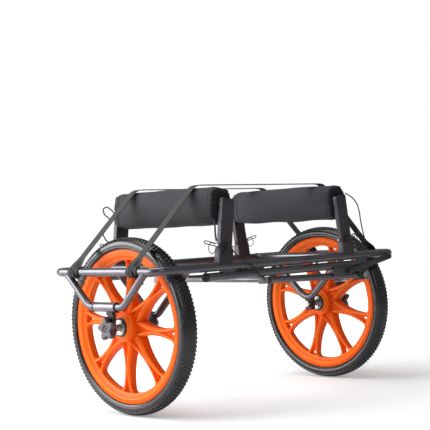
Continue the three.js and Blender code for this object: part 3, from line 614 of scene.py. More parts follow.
STAND_CORD = [(-202.5, -192, 363), (-194, -192, 352), (-185, -192, 344.5), (-170, -192, 336),
              (-142, -192, 325), (-127, -192, 311.5), (-111, -191, 296), (-98, -189.8, 288)]
FAR_LEFT_STRING = [(-228, 172, 455), (-240, 173, 466), (-253, 174, 472), (-262, 175, 466),
                   (-258, 175, 454), (-246, 174, 445), (-243, 174, 438), (-253, 175, 432),
                   (-263, 176, 420), (-264, 176, 405), (-257, 175, 392), (-247, 175, 385)]
NEAR_LEFT_STRING = [(-234, -171, 428), (-241, -178, 425), (-245, -184, 415), (-246, -185, 398),
                    (-244, -185, 382)]
NEAR_RIGHT_STRING = [(212, -186, 481), (222, -190, 475), (234, -193, 467), (246, -195, 453),
                     (254, -195, 434), (258, -195, 410), (265, -195, 383), (274, -195, 357)]


def cords():
    """The cord that lifts the stand, and the three strings that hang from the pads' ends."""
    stand = free_cord("stand_lift_cord", "stand_cord", STAND_CORD, 0.0015, None)
    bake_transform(stand)
    strings = (("far_left", FAR_LEFT_STRING, 0.0015, "bunk_left"),
               ("near_left", NEAR_LEFT_STRING, 0.002, "bunk_left"),
               ("near_right", NEAR_RIGHT_STRING, 0.0015, "bunk_right"))
    for place, route, radius, body in strings:
        free_cord(f"pad_string_{place}", f"drawstring_{place}", route, radius, body)


# ---- Frame

def weld(name, start, ahead, tube_r, bar_point, bar_axis, bar_r):
    """Bead where a tube meets a round bar.

    Each line of the tube's wall, start + tube_r (cos a first + sin a second) + t ahead, meets the bar
    where its distance to the bar's axis is bar_r. That is a quadratic in t, and the nearer root is taken.
    """
    start, bar_point = np.array(start, float), np.array(bar_point, float)
    ahead = np.array(ahead, float) / np.linalg.norm(ahead)
    axis = np.array(bar_axis, float)
    first = np.cross(ahead, axis)
    first /= np.linalg.norm(first)
    second = np.cross(ahead, first)
    angle = np.linspace(0, 2 * np.pi, 64, endpoint=False)[:, None]
    wall = start + tube_r * (np.cos(angle) * first + np.sin(angle) * second)
    flat = lambda v: v - (v @ axis)[..., None] * axis
    offset, step = flat(wall - bar_point), ahead - (ahead @ axis) * axis
    a, b = step @ step, 2 * offset @ step
    c = (offset**2).sum(1) - bar_r**2
    root = (-b - np.sqrt(np.maximum(b * b - 4 * a * c, 1e-7))) / (2 * a)
    line = wall + root[:, None] * ahead
    outward = line - (start + ((line - start) @ ahead)[:, None] * ahead)
    ripple = 1 + 0.1 * np.sin(22 * angle[:, 0])
    grid = carry(line, ring(WELD_R, 10), outward, True, scale=ripple)
    on("frame", surface(name, grid, TUBE, along=True), "frame_tube")


def upper_frame():
    """Bent upper loop, and under each long side a lower rail with its saddle blocks and end caps."""
    corners = [(LOOP_X * a, LOOP_Y * b, LOOP_Z) for a, b in ((-1, -1), (1, -1), (1, 1), (-1, 1))]
    bent = arcs(corners, LOOP_BEND, 14, closed=True)
    loop = tube("loop_tube", bent, RAIL_R, TUBE, (0, 0, 1), closed=True, sides=48)
    on("frame", loop, "frame_tube", "upper_loop")
    for end, y_side in ENDS.items():
        y = LOOP_Y * y_side
        rail = rod(f"lower_rail_tube_{end}", (LOWER_LEFT_X, y, LOWER_Z), (LOWER_RIGHT_X, y, LOWER_Z),
                   RAIL_R, TUBE, sides=48)
        on("frame", rail, "frame_tube", f"lower_rail_{end}")
        for number, x in enumerate((-0.207, 0.023, 0.272)):
            on("frame", saddle(f"rail_saddle_{end}_{number}", x, y), "frame_tube")
        for hand, side in SIDES.items():
            rail_plug(end, y, hand, side)


def saddle(name, x, y):
    """Block between two rails: both long faces are arcs that follow the rails, sunk 0.4 mm into them."""
    across = np.linspace(-0.0065, 0.0065, 14)
    sag = np.sqrt((RAIL_R - 0.0004) ** 2 - across**2)
    low, high = np.stack([across, LOWER_Z + sag], 1), np.stack([across, LOOP_Z - sag], 1)
    section = np.concatenate([low, high[::-1]])
    centre = section.mean(0)
    stations = np.array([-0.019, -0.0184, -0.0176, 0.0176, 0.0184, 0.019])
    shrink = np.array([0.93, 0.98, 1, 1, 0.98, 0.93])
    rows = centre + (section - centre)[None] * shrink[:, None, None]
    along = np.broadcast_to(x + stations[:, None], rows.shape[:2])
    grid = np.stack([along, y + rows[..., 0], rows[..., 1]], -1)
    return surface(name, grid, TUBE, caps=True)


def rail_plug(end, y, hand, side):
    """Ribbed cap that closes a lower rail."""
    x = LOWER_LEFT_X if side < 0 else LOWER_RIGHT_X
    profile = [(0.0, 0.0), (10.2, 0), (10.2, 1.6), (9.5, 2.1), (9.5, 2.7), (10.2, 3.2), (10.2, 4.2),
               (9.3, 5.6), (7.4, 6.4), (0.0, 6.4)]
    line = np.array(profile) * MM
    line[:, 1] = x + (line[:, 1] + 0.0003) * side
    cap = turned(f"rail_cap_{end}_{hand}", line, PLASTIC, (0, y, LOWER_Z), closed=False, segments=48, edge=0)
    on("frame", cap, "black_plastic", f"rail_plug_{end}_{hand}")


def arches(hand, side):
    """The inner bar with its arch, and the outer arch with its sleeve, all welded tubes."""
    x = BAR_X * side
    bar = rod(f"inner_bar_{hand}", (x, -LOOP_Y, LOOP_Z), (x, LOOP_Y, LOOP_Z), RAIL_R, TUBE, sides=48)
    on("frame", bar, "frame_tube", f"inner_arch_{hand}")
    shapes = (("inner", x, 0.125, 0.012, 0.218, 0.030),
              ("outer", LOOP_X * side, 0.136, 0.058, OUTER_ARCH_Z, 0.034))
    for kind, at, top, flat, low, bend in shapes:
        corners = [(at, -top, LOOP_Z), (at, -flat, low), (at, flat, low), (at, top, LOOP_Z)]
        arch = tube(f"{kind}_arch_tube_{hand}", arcs(corners, bend, 16), ARCH_R, TUBE, (1, 0, 0), sides=48)
        on("frame", arch, "frame_tube", f"{kind}_arch_{hand}")
        for end, y_side in ENDS.items():
            ahead = (0, (top - flat) * y_side, LOOP_Z - low)
            start = (at, (flat + 0.02) * y_side, low + 0.02 * ahead[2] / abs(ahead[1]))
            weld(f"{kind}_arch_weld_{end}_{hand}", start, ahead, ARCH_R, (at, 0, LOOP_Z), (0, 1, 0), RAIL_R)
    for end, y_side in ENDS.items():
        weld(f"bar_weld_{end}_{hand}", (x, 0.14 * y_side, LOOP_Z), (0, y_side, 0), RAIL_R,
             (0, LOOP_Y * y_side, LOOP_Z), (1, 0, 0), RAIL_R)
    centre = (LOOP_X * side, 0, OUTER_ARCH_Z)
    wall = np.array([(8.6, -34), (10.6, -34), (10.6, 34), (8.6, 34)]) * MM
    shell = turned(f"arch_sleeve_shell_{hand}", wall, SLEEVE, centre, "Y", 64)
    on("frame", shell, "sleeve_tube", f"arch_sleeve_{hand}")
    for end, y_side in ENDS.items():
        band = np.array([(8.6, 34.2), (11.1, 34.2), (11.1, 38), (8.6, 38)]) * MM
        band[:, 1] *= y_side
        ring_band = turned(f"sleeve_band_{end}_{hand}", band, PLASTIC, centre, "Y", 64, edge=0.0008)
        on("frame", ring_band, "black_plastic")


def hexagon(name, at, axis, radius, height, finish):
    """Bolt head: a six-sided prism with its corners turned down. axis is X or Y, with - to face back."""
    profile = np.array([(0, 0), (radius, 0), (radius, height * 0.78), (radius * 0.86, height), (0, height)])
    profile[:, 1] *= -1 if axis.endswith("-") else 1
    return turned(name, profile, finish, at, axis[0], 6, closed=False, angle=20, edge=0)


def stand():
    """Folding stand: two legs, the bar between their feet, and what holds its pivots."""
    for end, y_side in ENDS.items():
        y = LOOP_Y * y_side
        fall = (FOOT_Z - 0.001 - PIVOT_Z) / (PIVOT_X - FOOT_X)
        height = lambda x: PIVOT_Z + fall * (PIVOT_X - x)
        leg = rod(f"stand_leg_tube_{end}", (-0.071, y, height(-0.071)), (0.279, y, height(0.279)),
                  0.008, TUBE, sides=40)
        on("stand", leg, "frame_tube", f"stand_leg_{end}")
        cap = rod(f"stand_leg_cap_{end}", (0.2789, y, height(0.279)), (0.2814, y, height(0.281)),
                  0.0076, PLASTIC, edge=0.0012)
        on("stand", cap, "black_plastic")
        on("stand", softened(f"stand_corner_{end}", CORNER, 0.0025, 4), "grey_plastic", f"stand_corner_{end}")
        on("frame", softened(f"stand_bracket_{end}", FLAT, 0.0006), "frame_tube", f"stand_bracket_{end}")
        on("frame", softened(f"stand_stay_{end}", FLAT, 0.0006), "frame_tube", f"stand_stay_{end}")
        pivot_pin(end, y_side)
    reach = LOOP_Y - 0.0103
    bar = rod("foot_tube", (FOOT_X, -reach, FOOT_Z), (FOOT_X, reach, FOOT_Z), 0.0065, SLEEVE, sides=40)
    on("stand", bar, "sleeve_tube", "stand_foot_bar")


def pivot_pin(end, y_side):
    """Pin through a bracket, with a washer and a spring wire clip."""
    at = np.array((PIVOT_X, 0, PIVOT_Z))
    along = lambda y: at + (0, y * y_side, 0)
    shank = rod(f"pivot_shank_{end}", along(0.1645), along(0.1985), 0.004, ZINC, edge=0.0008)
    on("frame", shank, "zinc", f"stand_pivot_pin_{end}")
    washer = rod(f"pivot_washer_{end}", along(0.1943), along(0.1957), 0.0075, ZINC, edge=0.0003)
    on("frame", washer, "zinc")
    corners = [along(0.198) + np.array((x, 0, z)) * MM for x, z in ((0, -14), (0, 9), (6.6, 9), (6.6, -12))]
    clip = tube(f"pivot_clip_{end}", arcs(corners, 0.0029, 8), 0.0009, ZINC, (0, 1, 0), sides=12, edge=0.0004)
    on("frame", clip, "zinc")


# ---- Bunks

def rounded_box(half_x, half_y, radius):
    """Flat outline of a box with round corners."""
    corners = [(-half_x, -half_y, 0), (half_x, -half_y, 0), (half_x, half_y, 0), (-half_x, half_y, 0)]
    return arcs(corners, radius, 5, closed=True)[:, :2]


def socket_cup(end, y_side, hand, side):
    """Open-topped socket: up the outer wall, over a round lip and down the slot to its floor."""
    rows = []
    steps = ((0, -0.006, 0.0022), (0, 0.0284, 0.0022), (0.0003, 0.0288, 0.002), (0.0010, 0.029, 0.0018),
             (0.0016, 0.0288, 0.0014), (0.0019, 0.0284, 0.001), (0.0019, 0.0047, 0.001))
    for inset, up, radius in steps:
        narrow = min(inset / 0.0019, 1) * 0.0007
        outline = rounded_box(0.0212 - inset, 0.0090 - inset - narrow, radius)
        rows.append(np.c_[outline, np.full(len(outline), up)])
    grid = leaning(np.array(rows) + (0, LOOP_Y * y_side, 0), side)
    cup = surface(f"socket_cup_{end}_{hand}", grid, FLAT, caps=True)
    on("frame", cup, "frame_tube", f"socket_{end}_{hand}")


def post(end, y_side, hand, side):
    """Flat post with round top corners, and the bolt on its outer face."""
    body = f"bunk_{hand}"
    y = LOOP_Y * y_side
    ups = np.array([0.0052, 0.0058, 0.130, 0.136, 0.1395, 0.1412, 0.1418, 0.142])
    narrow = np.array([0.97, 1, 1, 0.992, 0.965, 0.93, 0.90, 0.87])
    outline = rounded_box(0.019, 0.006, 0.0012)
    grid = np.stack([np.c_[outline * (w, 1 if w > 0.9 else 0.94), np.full(len(outline), u)]
                     for u, w in zip(ups, narrow)])
    bar = surface(f"post_bar_{end}_{hand}", leaning(grid + (0, y, 0), side), FLAT, caps=True)
    on(body, bar, "frame_tube", f"post_{end}_{hand}")
    face = (LOOP_Y + 0.0106) * y_side
    at = leaning([(0, 0, 0.036)], side)[0]
    out = lambda y: at + (0, y, 0)
    shank = rod(f"post_bolt_shank_{end}_{hand}", out(0.183 * y_side), out(face + 0.001 * y_side),
                0.0045, ZINC)
    washer = rod(f"post_washer_{end}_{hand}", out(face), out(face + 0.002 * y_side), 0.0085, PLASTIC,
                 edge=0.0005)
    head = hexagon(f"post_bolt_head_{end}_{hand}", tuple(out(face + 0.002 * y_side)),
                   "Y" if y_side > 0 else "Y-", 0.0065, 0.005, PLASTIC)
    for piece, slot in ((shank, "zinc"), (washer, "black_plastic"), (head, "black_plastic")):
        on(body, piece, slot)
    if end == "near":
        on(body, softened(f"bunk_bar_{hand}", FLAT, 0.0008), "frame_tube", f"bunk_bar_{hand}")


def hitch_pin(end, y_side, hand, side):
    """Shank through the post, a short head, a long wire loop to pull and a thin round keeper."""
    body = f"pin_{end}_{hand}"
    centre = np.array((0, LOOP_Y * y_side, PIN_UP))
    place = lambda points: leaning(np.array(points) * (side, 1, 1) + centre, side)
    face = 0.0193
    level = lambda start, stop: place([(start, 0, 0), (stop, 0, 0)])
    shank = tube(f"pin_shank_{end}_{hand}", level(-0.0265, face + 0.001), 0.003, ZINC, (0, 1, 0), edge=0.001)
    head = tube(f"pin_head_{end}_{hand}", level(face, face + 0.006), 0.0046, ZINC, (0, 1, 0), edge=0.001)
    rise = math.tan(math.radians(5))
    corner = lambda along, across: (face + 0.005 + along, 0, along * rise + across)
    ends = ((0, 0.0031), (0.038, 0.0031), (0.038, -0.0031), (0, -0.0031))
    loop = arcs([corner(*pair) for pair in ends], 0.0029, 8)
    wire = tube(f"pin_loop_{end}_{hand}", place(loop), 0.0011, WIRE, (0, 1, 0), sides=12, edge=0.0004)
    angle = np.linspace(0, 2 * np.pi, 60, endpoint=False)
    hoop = np.stack([face + 0.018 + 0.0115 * np.cos(angle), 0 * angle, -0.008 + 0.0115 * np.sin(angle)], 1)
    keeper = tube(f"pin_keeper_{end}_{hand}", place(hoop), 0.0009, WIRE, (0, 1, 0), closed=True, sides=10)
    for piece in (shank, head, wire, keeper):
        on(body, piece, "zinc")
    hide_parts(f"hitch_pin_{end}_{hand}")


def cord_hook():
    """Wire hook on the near left socket that the stand's cord hangs on."""
    bends = [(-217, -186.2, 359), (-222, -189.2, 359), (-226, -189.2, 355.5), (-224.5, -189.2, 350.5),
             (-218, -189.2, 348.5)]
    line = smooth_line(np.array(bends) * MM)
    on("frame", tube("cord_hook_wire", line, 0.0016, PLASTIC, (0.1, 1, 0.1), sides=14), "frame_tube")


# ---- Wheels

def smooth_step(x, low, high):
    """0 below low, 1 above high, and an even S between them."""
    t = np.clip((x - low) / (high - low), 0, 1)
    return t * t * (3 - 2 * t)


def bell(value, width):
    """Smooth bump of height 1 at value 0: e to the power of minus (value / width) squared."""
    return np.exp(-((value / width) ** 2))


def spoke_half_width(r):
    """Half the width of a spoke at radius r, in millimetres: a waist, and a round corner at the rim."""
    away = (r - WAIST_R) / WAIST_R
    width = 18 + np.where(r > WAIST_R, 57, 69) * away**2
    corner = np.clip((r - 139.5) / 9.5, 0, 1)
    return np.minimum(width / 2 + 8.5 * (1 - np.sqrt(1 - corner**2)), r * (np.pi / SPOKES + 0.002))


def crest_place(r):
    """Distance from a spoke's middle line to its crests at radius r, in millimetres."""
    return 2.0 + np.where(r < CREST_R, 11 * ((CREST_R - r) / 52) ** 2, 12 * ((r - CREST_R) / 60) ** 2)


def spoke_face(r, q):
    """Half thickness of a spoke, in millimetres, at radius r and distance q from its middle line.

    A narrow crest runs along each side at q = g, which is 2 at CREST_R and grows with the square of the
    distance from there, so that the crests of one window make a petal. Outside a crest the face falls
    in a quarter ellipse to WINDOW_HALF at the window; between the crests lies a lower floor.
    """
    crest_q = crest_place(r)
    inside = np.maximum(spoke_half_width(r) - np.abs(q), 0)
    top = 16.6 - 0.07 * (r - 47)
    share = np.clip(inside / np.maximum(spoke_half_width(r) - crest_q, 1), 0, 1)
    flank = WINDOW_HALF + (top - CREST_HEIGHT - WINDOW_HALF) * np.sqrt(1 - (1 - share) ** 2)
    crest = CREST_HEIGHT * bell(np.abs(q) - crest_q, CREST_WIDTH)
    depth = 2.4 + 4.5 * smooth_step(r, 98, 122) + 5.0 * (1 - smooth_step(r, 42, 78))
    floor = depth * smooth_step(crest_q - np.abs(q), 0.4, 2.4)
    turned_down = 1.3 * (1 - np.sqrt(np.clip(1 - (1 - np.clip(inside / 1.3, 0, 1)) ** 2, 0, 1)))
    return flank + crest - floor - turned_down


def paint_highlight(obj, share):
    """Marks how strongly each point of an orange moulding gets the painted highlight."""
    obj.data.attributes.new("crest", "FLOAT", "POINT").data.foreach_set("value", share)


def paint_highlight_rings(obj, *radii):
    """Lays the painted highlight on a wheel's moulding along circles round its axle, radii in millimetres."""
    y, z = read_points(obj.data).T[1:]
    r = np.hypot(y, z - HUB_Z) / MM
    paint_highlight(obj, sum(0.6 * bell(r - radius, 0.8) for radius in radii))


def spoke_part(name, hand, side, angle, r, q):
    """Closed grid over one stretch of a spoke: columns run over its front and back again over its back."""
    half = spoke_face(r, q)
    turn = angle + q / r
    front = np.stack([half, r * np.cos(turn), r * np.sin(turn)], -1)
    back = front[:, ::-1] * (-1, 1, 1)
    grid = np.concatenate([front, back], 1) * MM + (TRACK_HALF * side, 0, HUB_Z)
    made = surface(name, grid, ORANGE, caps=True, angle=50)
    # Painted highlight along both crests of the spoke.
    line = bell(np.abs(q) - crest_place(r), CREST_WIDTH) * smooth_step(r, 30, 36)
    paint_highlight(made, np.concatenate([line, line[:, ::-1]], 1).ravel())
    on(f"wheel_{hand}", made, "wheel_orange")


def spoke(name, hand, side, angle):
    """One spoke: a stem from the boss to SPLIT_R, then two legs with a three-cornered gap between them."""
    lean = np.sin(np.linspace(-1.3, 1.3, 47)) / math.sin(1.3)
    r = np.linspace(29, SPLIT_R, 44)[:, None]
    spoke_part(f"{name}_stem", hand, side, angle, r + 0 * lean, spoke_half_width(r) * lean)
    r = np.concatenate([np.linspace(SPLIT_R - 1, 139.5, 9), np.linspace(140.5, 151, 15)])[:, None]
    share = np.linspace(0, 1, 26)[None] ** 0.9
    gap = 0.26 * np.maximum(r - SPLIT_R, 0)
    for number, hand_side in enumerate((-1, 1)):
        q = hand_side * (gap + (spoke_half_width(r) - gap) * share)
        spoke_part(f"{name}_leg_{number + 1}", hand, side, angle, r + 0 * q, q)


def rim(hand, side):
    """Wheel moulding: barrel, boss and spokes. Both turned profiles are half of one, mirrored."""
    centre = (TRACK_HALF * side, 0, HUB_Z)
    half = [(165, 12.6), (172.3, 15), (172.6, 16.6), (167.4, 18.3), (162.2, 18.2), (160.8, 17.4),
            (157.2, 13.6), (154.6, 12.4), (150.4, 9.8), (149, 8.2)]
    barrel = [(r, -x) for r, x in half[::-1]] + half
    well = turned(f"rim_barrel_{hand}", np.array(barrel) * MM, ORANGE, centre, segments=192)
    # Painted highlight on the lip edges at radii 161 and 150 mm.
    paint_highlight_rings(well, 161, 150)
    on(f"wheel_{hand}", well, "wheel_orange", f"rim_{hand}")
    half = [(36.5, 8.6), (34, 9), (33.2, 24.4), (32.4, 26.4), (30.6, 26.4), (29.8, 24.6), (25.2, 24.8),
            (24.6, 32), (17.8, 32)]
    boss = [(r, -x) for r, x in half[::-1]] + half
    middle = turned(f"rim_boss_{hand}", np.array(boss) * MM, ORANGE, centre, segments=128, edge=0.0009)
    # Painted highlight on the boss's edges.
    paint_highlight_rings(middle, 31.5, 24.8)
    on(f"wheel_{hand}", middle, "wheel_orange")
    for number in range(SPOKES):
        angle = math.radians(SPOKE_TURN[hand]) + number * 2 * math.pi / SPOKES
        spoke(f"rim_spoke_{number + 1}_{hand}", hand, side, angle)


def hub(hand, side):
    """Bearing barrel with a black seal ring on both faces."""
    centre = (TRACK_HALF * side, 0, HUB_Z)
    barrel = [(6.3, -36.5), (16.8, -36.5), (17.6, -35.7), (17.6, 35.7), (16.8, 36.5), (6.3, 36.5)]
    core = turned(f"hub_barrel_{hand}", np.array(barrel) * MM, ZINC, centre, segments=72, edge=0.0004)
    on(f"wheel_{hand}", core, "zinc", f"hub_{hand}")
    for face in (-1, 1):
        name = "outer" if face == side else "inner"
        seal = np.array([(17.8, 32.3), (21, 32.3), (21, 35.2), (20.4, 36), (18.6, 35.6), (17.8, 34.8)]) * MM
        seal[:, 1] *= face
        lip = turned(f"hub_seal_{name}_{hand}", seal, PLASTIC, centre, segments=72, edge=0.0004)
        on(f"wheel_{hand}", lip, "zinc")


def axle_parts(hand, side):
    """Long bolt through the hub with its head, both dropouts, the spacers between, and the knob."""
    along = lambda x: np.array((x * side, 0, HUB_Z))
    bolt = rod(f"axle_rod_{hand}", along(0.262), along(0.4158), 0.006, ZINC, (0, 1, 0), edge=0.001)
    on("frame", bolt, "zinc", f"axle_bolt_{hand}")
    # Painted shade: a thin dark disc over the bolt's bright end, where it sits in the knob's recess.
    plug = rod(f"axle_end_shade_disc_{hand}", along(0.4154), along(0.4162), 0.0054, FLAT, (0, 1, 0), edge=0.0003)
    on("frame", plug, "zinc")
    head = hexagon(f"axle_head_{hand}", tuple(along(0.2707)), "X-" if side > 0 else "X", 0.0098, 0.008, ZINC)
    on("frame", head, "zinc")
    for kind in ("outer", "inner"):
        node = f"{kind}_dropout_{hand}"
        on("frame", softened(node, PLASTIC, 0.0013, 3), "black_plastic", node)
    for kind, start, end in (("outer", 0.3765, 0.3912), ("inner", 0.3025, 0.2884)):
        spacer = rod(f"{kind}_axle_spacer_{hand}", along(start), along(end), 0.0083, ZINC, (0, 1, 0),
                     sides=40)
        on("frame", spacer, "zinc")
    axle_knob(hand, side)


def axle_knob(hand, side):
    """Knob with five lobes, r = R (0.8 + 0.2 cos 5a), that ease to a round collar and a recess.

    A row is (share of the lobes, largest radius, distance from the dropout), the last two in millimetres.
    """
    rows = [(0, 6.3, 0), (0, 11, 0), (0, 11, 1.5), (0.35, 12.5, 1.9), (0.8, 20, 2.0), (1, 24.8, 2.3),
            (1, 26.5, 3.6), (1, 27, 5.6), (1, 27, 13), (1, 26.5, 15), (1, 25.2, 16.4), (1, 23.4, 17),
            (0.85, 19, 17), (0.3, 13, 16.8), (0, 9.4, 16.6), (0, 8, 16.3), (0, 7.3, 15.4), (0, 7.1, 13),
            (0, 6.3, 12.8)]
    angle = np.linspace(0, 2 * np.pi, 160, endpoint=False)
    lobes = 0.8 + 0.2 * np.cos(5 * angle)
    grid = []
    for share, radius, x in rows:
        r = radius * (share * lobes + (1 - share)) * MM
        y, z = r * np.cos(angle + KNOB_TURN), r * np.sin(angle + KNOB_TURN)
        grid.append(np.stack([np.full(160, (KNOB_FACE_X + x * MM) * side), y, HUB_Z + z], 1))
    made = surface(f"axle_knob_star_{hand}", np.array(grid), KNOB, along=True, angle=55)
    on(f"knob_{hand}", made, "black_plastic", f"axle_knob_{hand}")


def tyre(hand, side):
    """Tyre with knobs: a smooth section carried round the axle, its tread raised in five rows of blocks.

    The section's points carry s, the distance from the crown along the surface. A block stands up
    where both s and the place within one pitch are inside its bounds; neighbouring rows are half a
    pitch apart.
    """
    outline = [(165.4, 12.4), (172.7, 14.3), (173.2, 19.0), (184, 23.0), (193.6, 17.6), (197.4, 6.5)]
    outline = np.array(outline + [(r, -x) for r, x in outline[::-1]])
    radii = np.array([1, 1, 2, 12, 12, 20, 20, 12, 12, 2, 1, 1])
    line = arcs(np.c_[outline, np.zeros(12)], radii, 10, closed=True)[:, :2]
    line = np.concatenate([line, line[:1]])
    place = np.concatenate([[0], np.cumsum(np.linalg.norm(np.diff(line, axis=0), axis=1))])
    crown = np.interp(0, -line[:, 1][line[:, 0] > 190], place[line[:, 0] > 190])
    edges = [0, 3.4, 4.2, 5.8, 6.6, 9.2, 11.8, 12.6, 14.2, 15.0, 17.5, 20.2, 21.0, 22.5, 24.5, 26.5]
    rest = np.linspace(28, crown - 0.4, 24)
    offsets = np.concatenate([edges, rest])
    s = np.concatenate([-offsets[:0:-1], offsets])
    r0, x0 = np.interp(crown + s, place, line[:, 0]), np.interp(crown + s, place, line[:, 1])
    x0 = x0 + np.sign(x0) * 0.8 * bell(r0 - 177, 1.1) * (np.abs(x0) > 16)
    phase = np.array([0.02, 0.10, 0.40, 0.48, 0.52, 0.60, 0.90, 0.98])
    theta = ((np.arange(TREAD_PITCHES)[:, None] + phase[None]) / TREAD_PITCHES).ravel()
    ease = lambda value, soft: np.clip(value / soft + 0.5, 0, 1)
    inside = lambda value, low, high, soft: ease(value - low, soft) * ease(high - value, soft)
    share = np.tile(phase, TREAD_PITCHES)[:, None]
    across = np.abs(s)[None]
    even = inside(share, 0.06, 0.44, 0.06)
    odd = inside(share, 0.56, 0.94, 0.06)
    height = (even * inside(across, -4, 3.8, 0.8) + odd * inside(across, 6.2, 12.2, 0.8)
              + even * inside(across, 14.6, 20.6, 0.8))
    lean = np.arctan2(np.gradient(r0), np.gradient(x0))
    out_r, out_x = np.cos(lean), -np.sin(lean)
    flip = np.sign((out_r * (r0 - 184)).mean() + 1e-9)
    lift = BLOCK_HEIGHT * np.clip(height, 0, 1)
    r = (r0 + out_r * flip * lift) * MM
    x = (x0 + out_x * flip * lift) * MM
    turn = 2 * np.pi * theta[:, None]
    grid = np.stack([TRACK_HALF * side + x, r * np.cos(turn), HUB_Z + r * np.sin(turn)], -1)
    made = surface(f"tyre_tread_{hand}", grid, RUBBER, along=True, angle=30)
    on(f"wheel_{hand}", made, "tyre_black", f"tyre_{hand}")


# ---- Pads

def pad_grid(shrink):
    """The pad as a closed form in its bunk's frame: rings of a squared ellipse, drawn in at both ends."""
    t = np.concatenate([[-1.0] * 4, np.linspace(-0.99, 0.99, 60), [1.0] * 4])
    inward = np.concatenate([[0.25, 0.5, 0.7, 0.84], np.ones(60), [0.84, 0.7, 0.5, 0.25]])
    angle = np.linspace(0, 2 * np.pi, 72, endpoint=False)
    drawn = (inward * (1 - 0.07 * np.abs(t) ** 24))[:, None]
    squared = lambda v: np.sign(v) * np.abs(v) ** 0.55
    x = (PAD_HALF_W - shrink) * drawn * squared(np.cos(angle))
    z = (PAD_HALF_H * (1 + 0.03 * (1 - t * t))[:, None] - shrink) * drawn * squared(np.sin(angle))
    y = np.broadcast_to(t[:, None] * PAD_HALF_L, x.shape)
    return np.stack([x, y, z], -1)


def pad_place(points, side):
    """From the pad's own frame, which tips by PAD_TILT, to the cart's frame."""
    tilt = PAD_TILT * side
    x, y, z = np.moveaxis(points, -1, 0)
    turned_x = x * math.cos(tilt) + z * math.sin(tilt) + PAD_OUT * side
    return leaning(np.stack([turned_x, y, -x * math.sin(tilt) + z * math.cos(tilt) + PAD_UP], -1), side)


def evaluated(obj):
    """A new mesh of the object with its modifiers applied."""
    return bpy.data.meshes.new_from_object(obj.evaluated_get(bpy.context.evaluated_depsgraph_get()))


def puff(obj, pressure, cap):
    """Blows the cover up as cloth, without gravity. The gathered ends are held; cap limits each move."""
    before = read_points(obj.data)
    held = obj.vertex_groups.new(name="gathered_ends")
    held.add([int(i) for i in np.flatnonzero(np.abs(before[:, 1]) > PAD_HALF_L - 0.006)], 1.0, "ADD")
    cloth = obj.modifiers.new("cover", "CLOTH")
    rules = cloth.settings
    rules.quality, rules.use_pressure, rules.uniform_pressure_force = 6, True, pressure
    rules.effector_weights.gravity = 0
    rules.vertex_group_mass = "gathered_ends"
    rules.tension_stiffness = rules.compression_stiffness = 12
    rules.bending_stiffness = 0.6
    cloth.point_cache.frame_start, cloth.point_cache.frame_end = 1, PUFF_FRAMES
    for number in range(1, PUFF_FRAMES + 1):
        bpy.context.scene.frame_set(number)
    after = read_points(evaluated(obj))
    obj.modifiers.remove(cloth)
    bpy.context.scene.frame_set(1)
    move = after - before
    reach = np.linalg.norm(move, axis=1)[:, None]
    capped = before + move * np.minimum(1, cap / np.maximum(reach, 1e-9))
    obj.data.vertices.foreach_set("co", capped.ravel())
    obj.data.update()


def gathers(points, seed):
    """Height of the cover's folds, in metres, at points in the pad's own frame.

    Pleats fan out from the bar on both end faces and run a short way along the sides. A hem ring stands
    15 mm from each end. The long faces carry a few slow hollows, and the lower edge hangs in shallow waves.
    """
    x, y, z = points.T
    angle = np.arctan2(z / PAD_HALF_H, x / PAD_HALF_W)
    end = np.sign(y)
    near = PAD_HALF_L - np.abs(y)
    fan = sum(a * np.sin(k * angle + seed * k + 1.7 * k * end)
              for k, a in ((13, 0.5), (21, 0.42), (34, 0.25)))
    fan = np.abs(fan) - 0.35
    pleats = 0.0026 * fan * np.exp(-np.clip(near - 0.004, 0, None) / 0.012)
    hem = 0.0011 * bell(near - 0.017, 0.0018) - 0.0009 * bell(near - 0.022, 0.0022)
    slow = 0.0005 * np.sin(38 * y + 2.2 * np.sin(3 * angle + seed)) * np.sin(2 * angle + seed + 9 * y)
    creases = -0.0005 * bell(np.sin(21 * y + seed + 0.8 * angle), 0.10) * smooth_step(near, 0.02, 0.05)
    lower = smooth_step(-z, 0.028, 0.04)
    wave = 0.0009 * np.sin(2 * np.pi * y / 0.13 + 1.3 * seed) * lower
    return pleats + hem + slow + creases + wave


def pad(hand, side):
    """Padded sleeve: its cover is remeshed, blown up as cloth, divided twice and gathered at both ends."""
    start = surface(f"pad_start_{hand}", pad_grid(0.003), PAD, caps=True)
    remesh = start.modifiers.new("even_cover", "REMESH")
    remesh.mode, remesh.voxel_size = "VOXEL", 0.005
    bpy.context.view_layer.update()
    made = bpy.data.objects.new(f"pad_cover_{hand}", evaluated(start))
    bpy.context.scene.collection.objects.link(made)
    bpy.data.objects.remove(start)
    puff(made, 4.0, 0.007)
    finer = made.modifiers.new("finer", "SUBSURF")
    finer.levels = finer.render_levels = 2
    bpy.context.view_layer.update()
    fine = evaluated(made)
    made.modifiers.remove(finer)
    made.data = fine
    points = read_points(fine)
    normals = np.empty(len(points) * 3)
    fine.vertices.foreach_get("normal", normals)
    points = points + normals.reshape(-1, 3) * gathers(points, 0.7 if side < 0 else 2.1)[:, None]
    fine.vertices.foreach_set("co", pad_place(points, side).ravel())
    fine.update()
    fine.shade_smooth()
    fine.materials.clear()
    fine.materials.append(PAD.material)
    on(f"bunk_{hand}", made, "pad_cover", f"pad_{hand}")


# ---- Straps

def upper_hull(points):
    """The upper side of the convex hull of points in a plane, from left to right."""
    chain = []
    for point in sorted(map(tuple, points)):
        while len(chain) > 1:
            (ax, ay), (bx, by) = chain[-2:]
            if (bx - ax) * (point[1] - ay) - (by - ay) * (point[0] - ax) < 0:
                break
            chain.pop()
        chain.append(point)
    return np.array(chain)


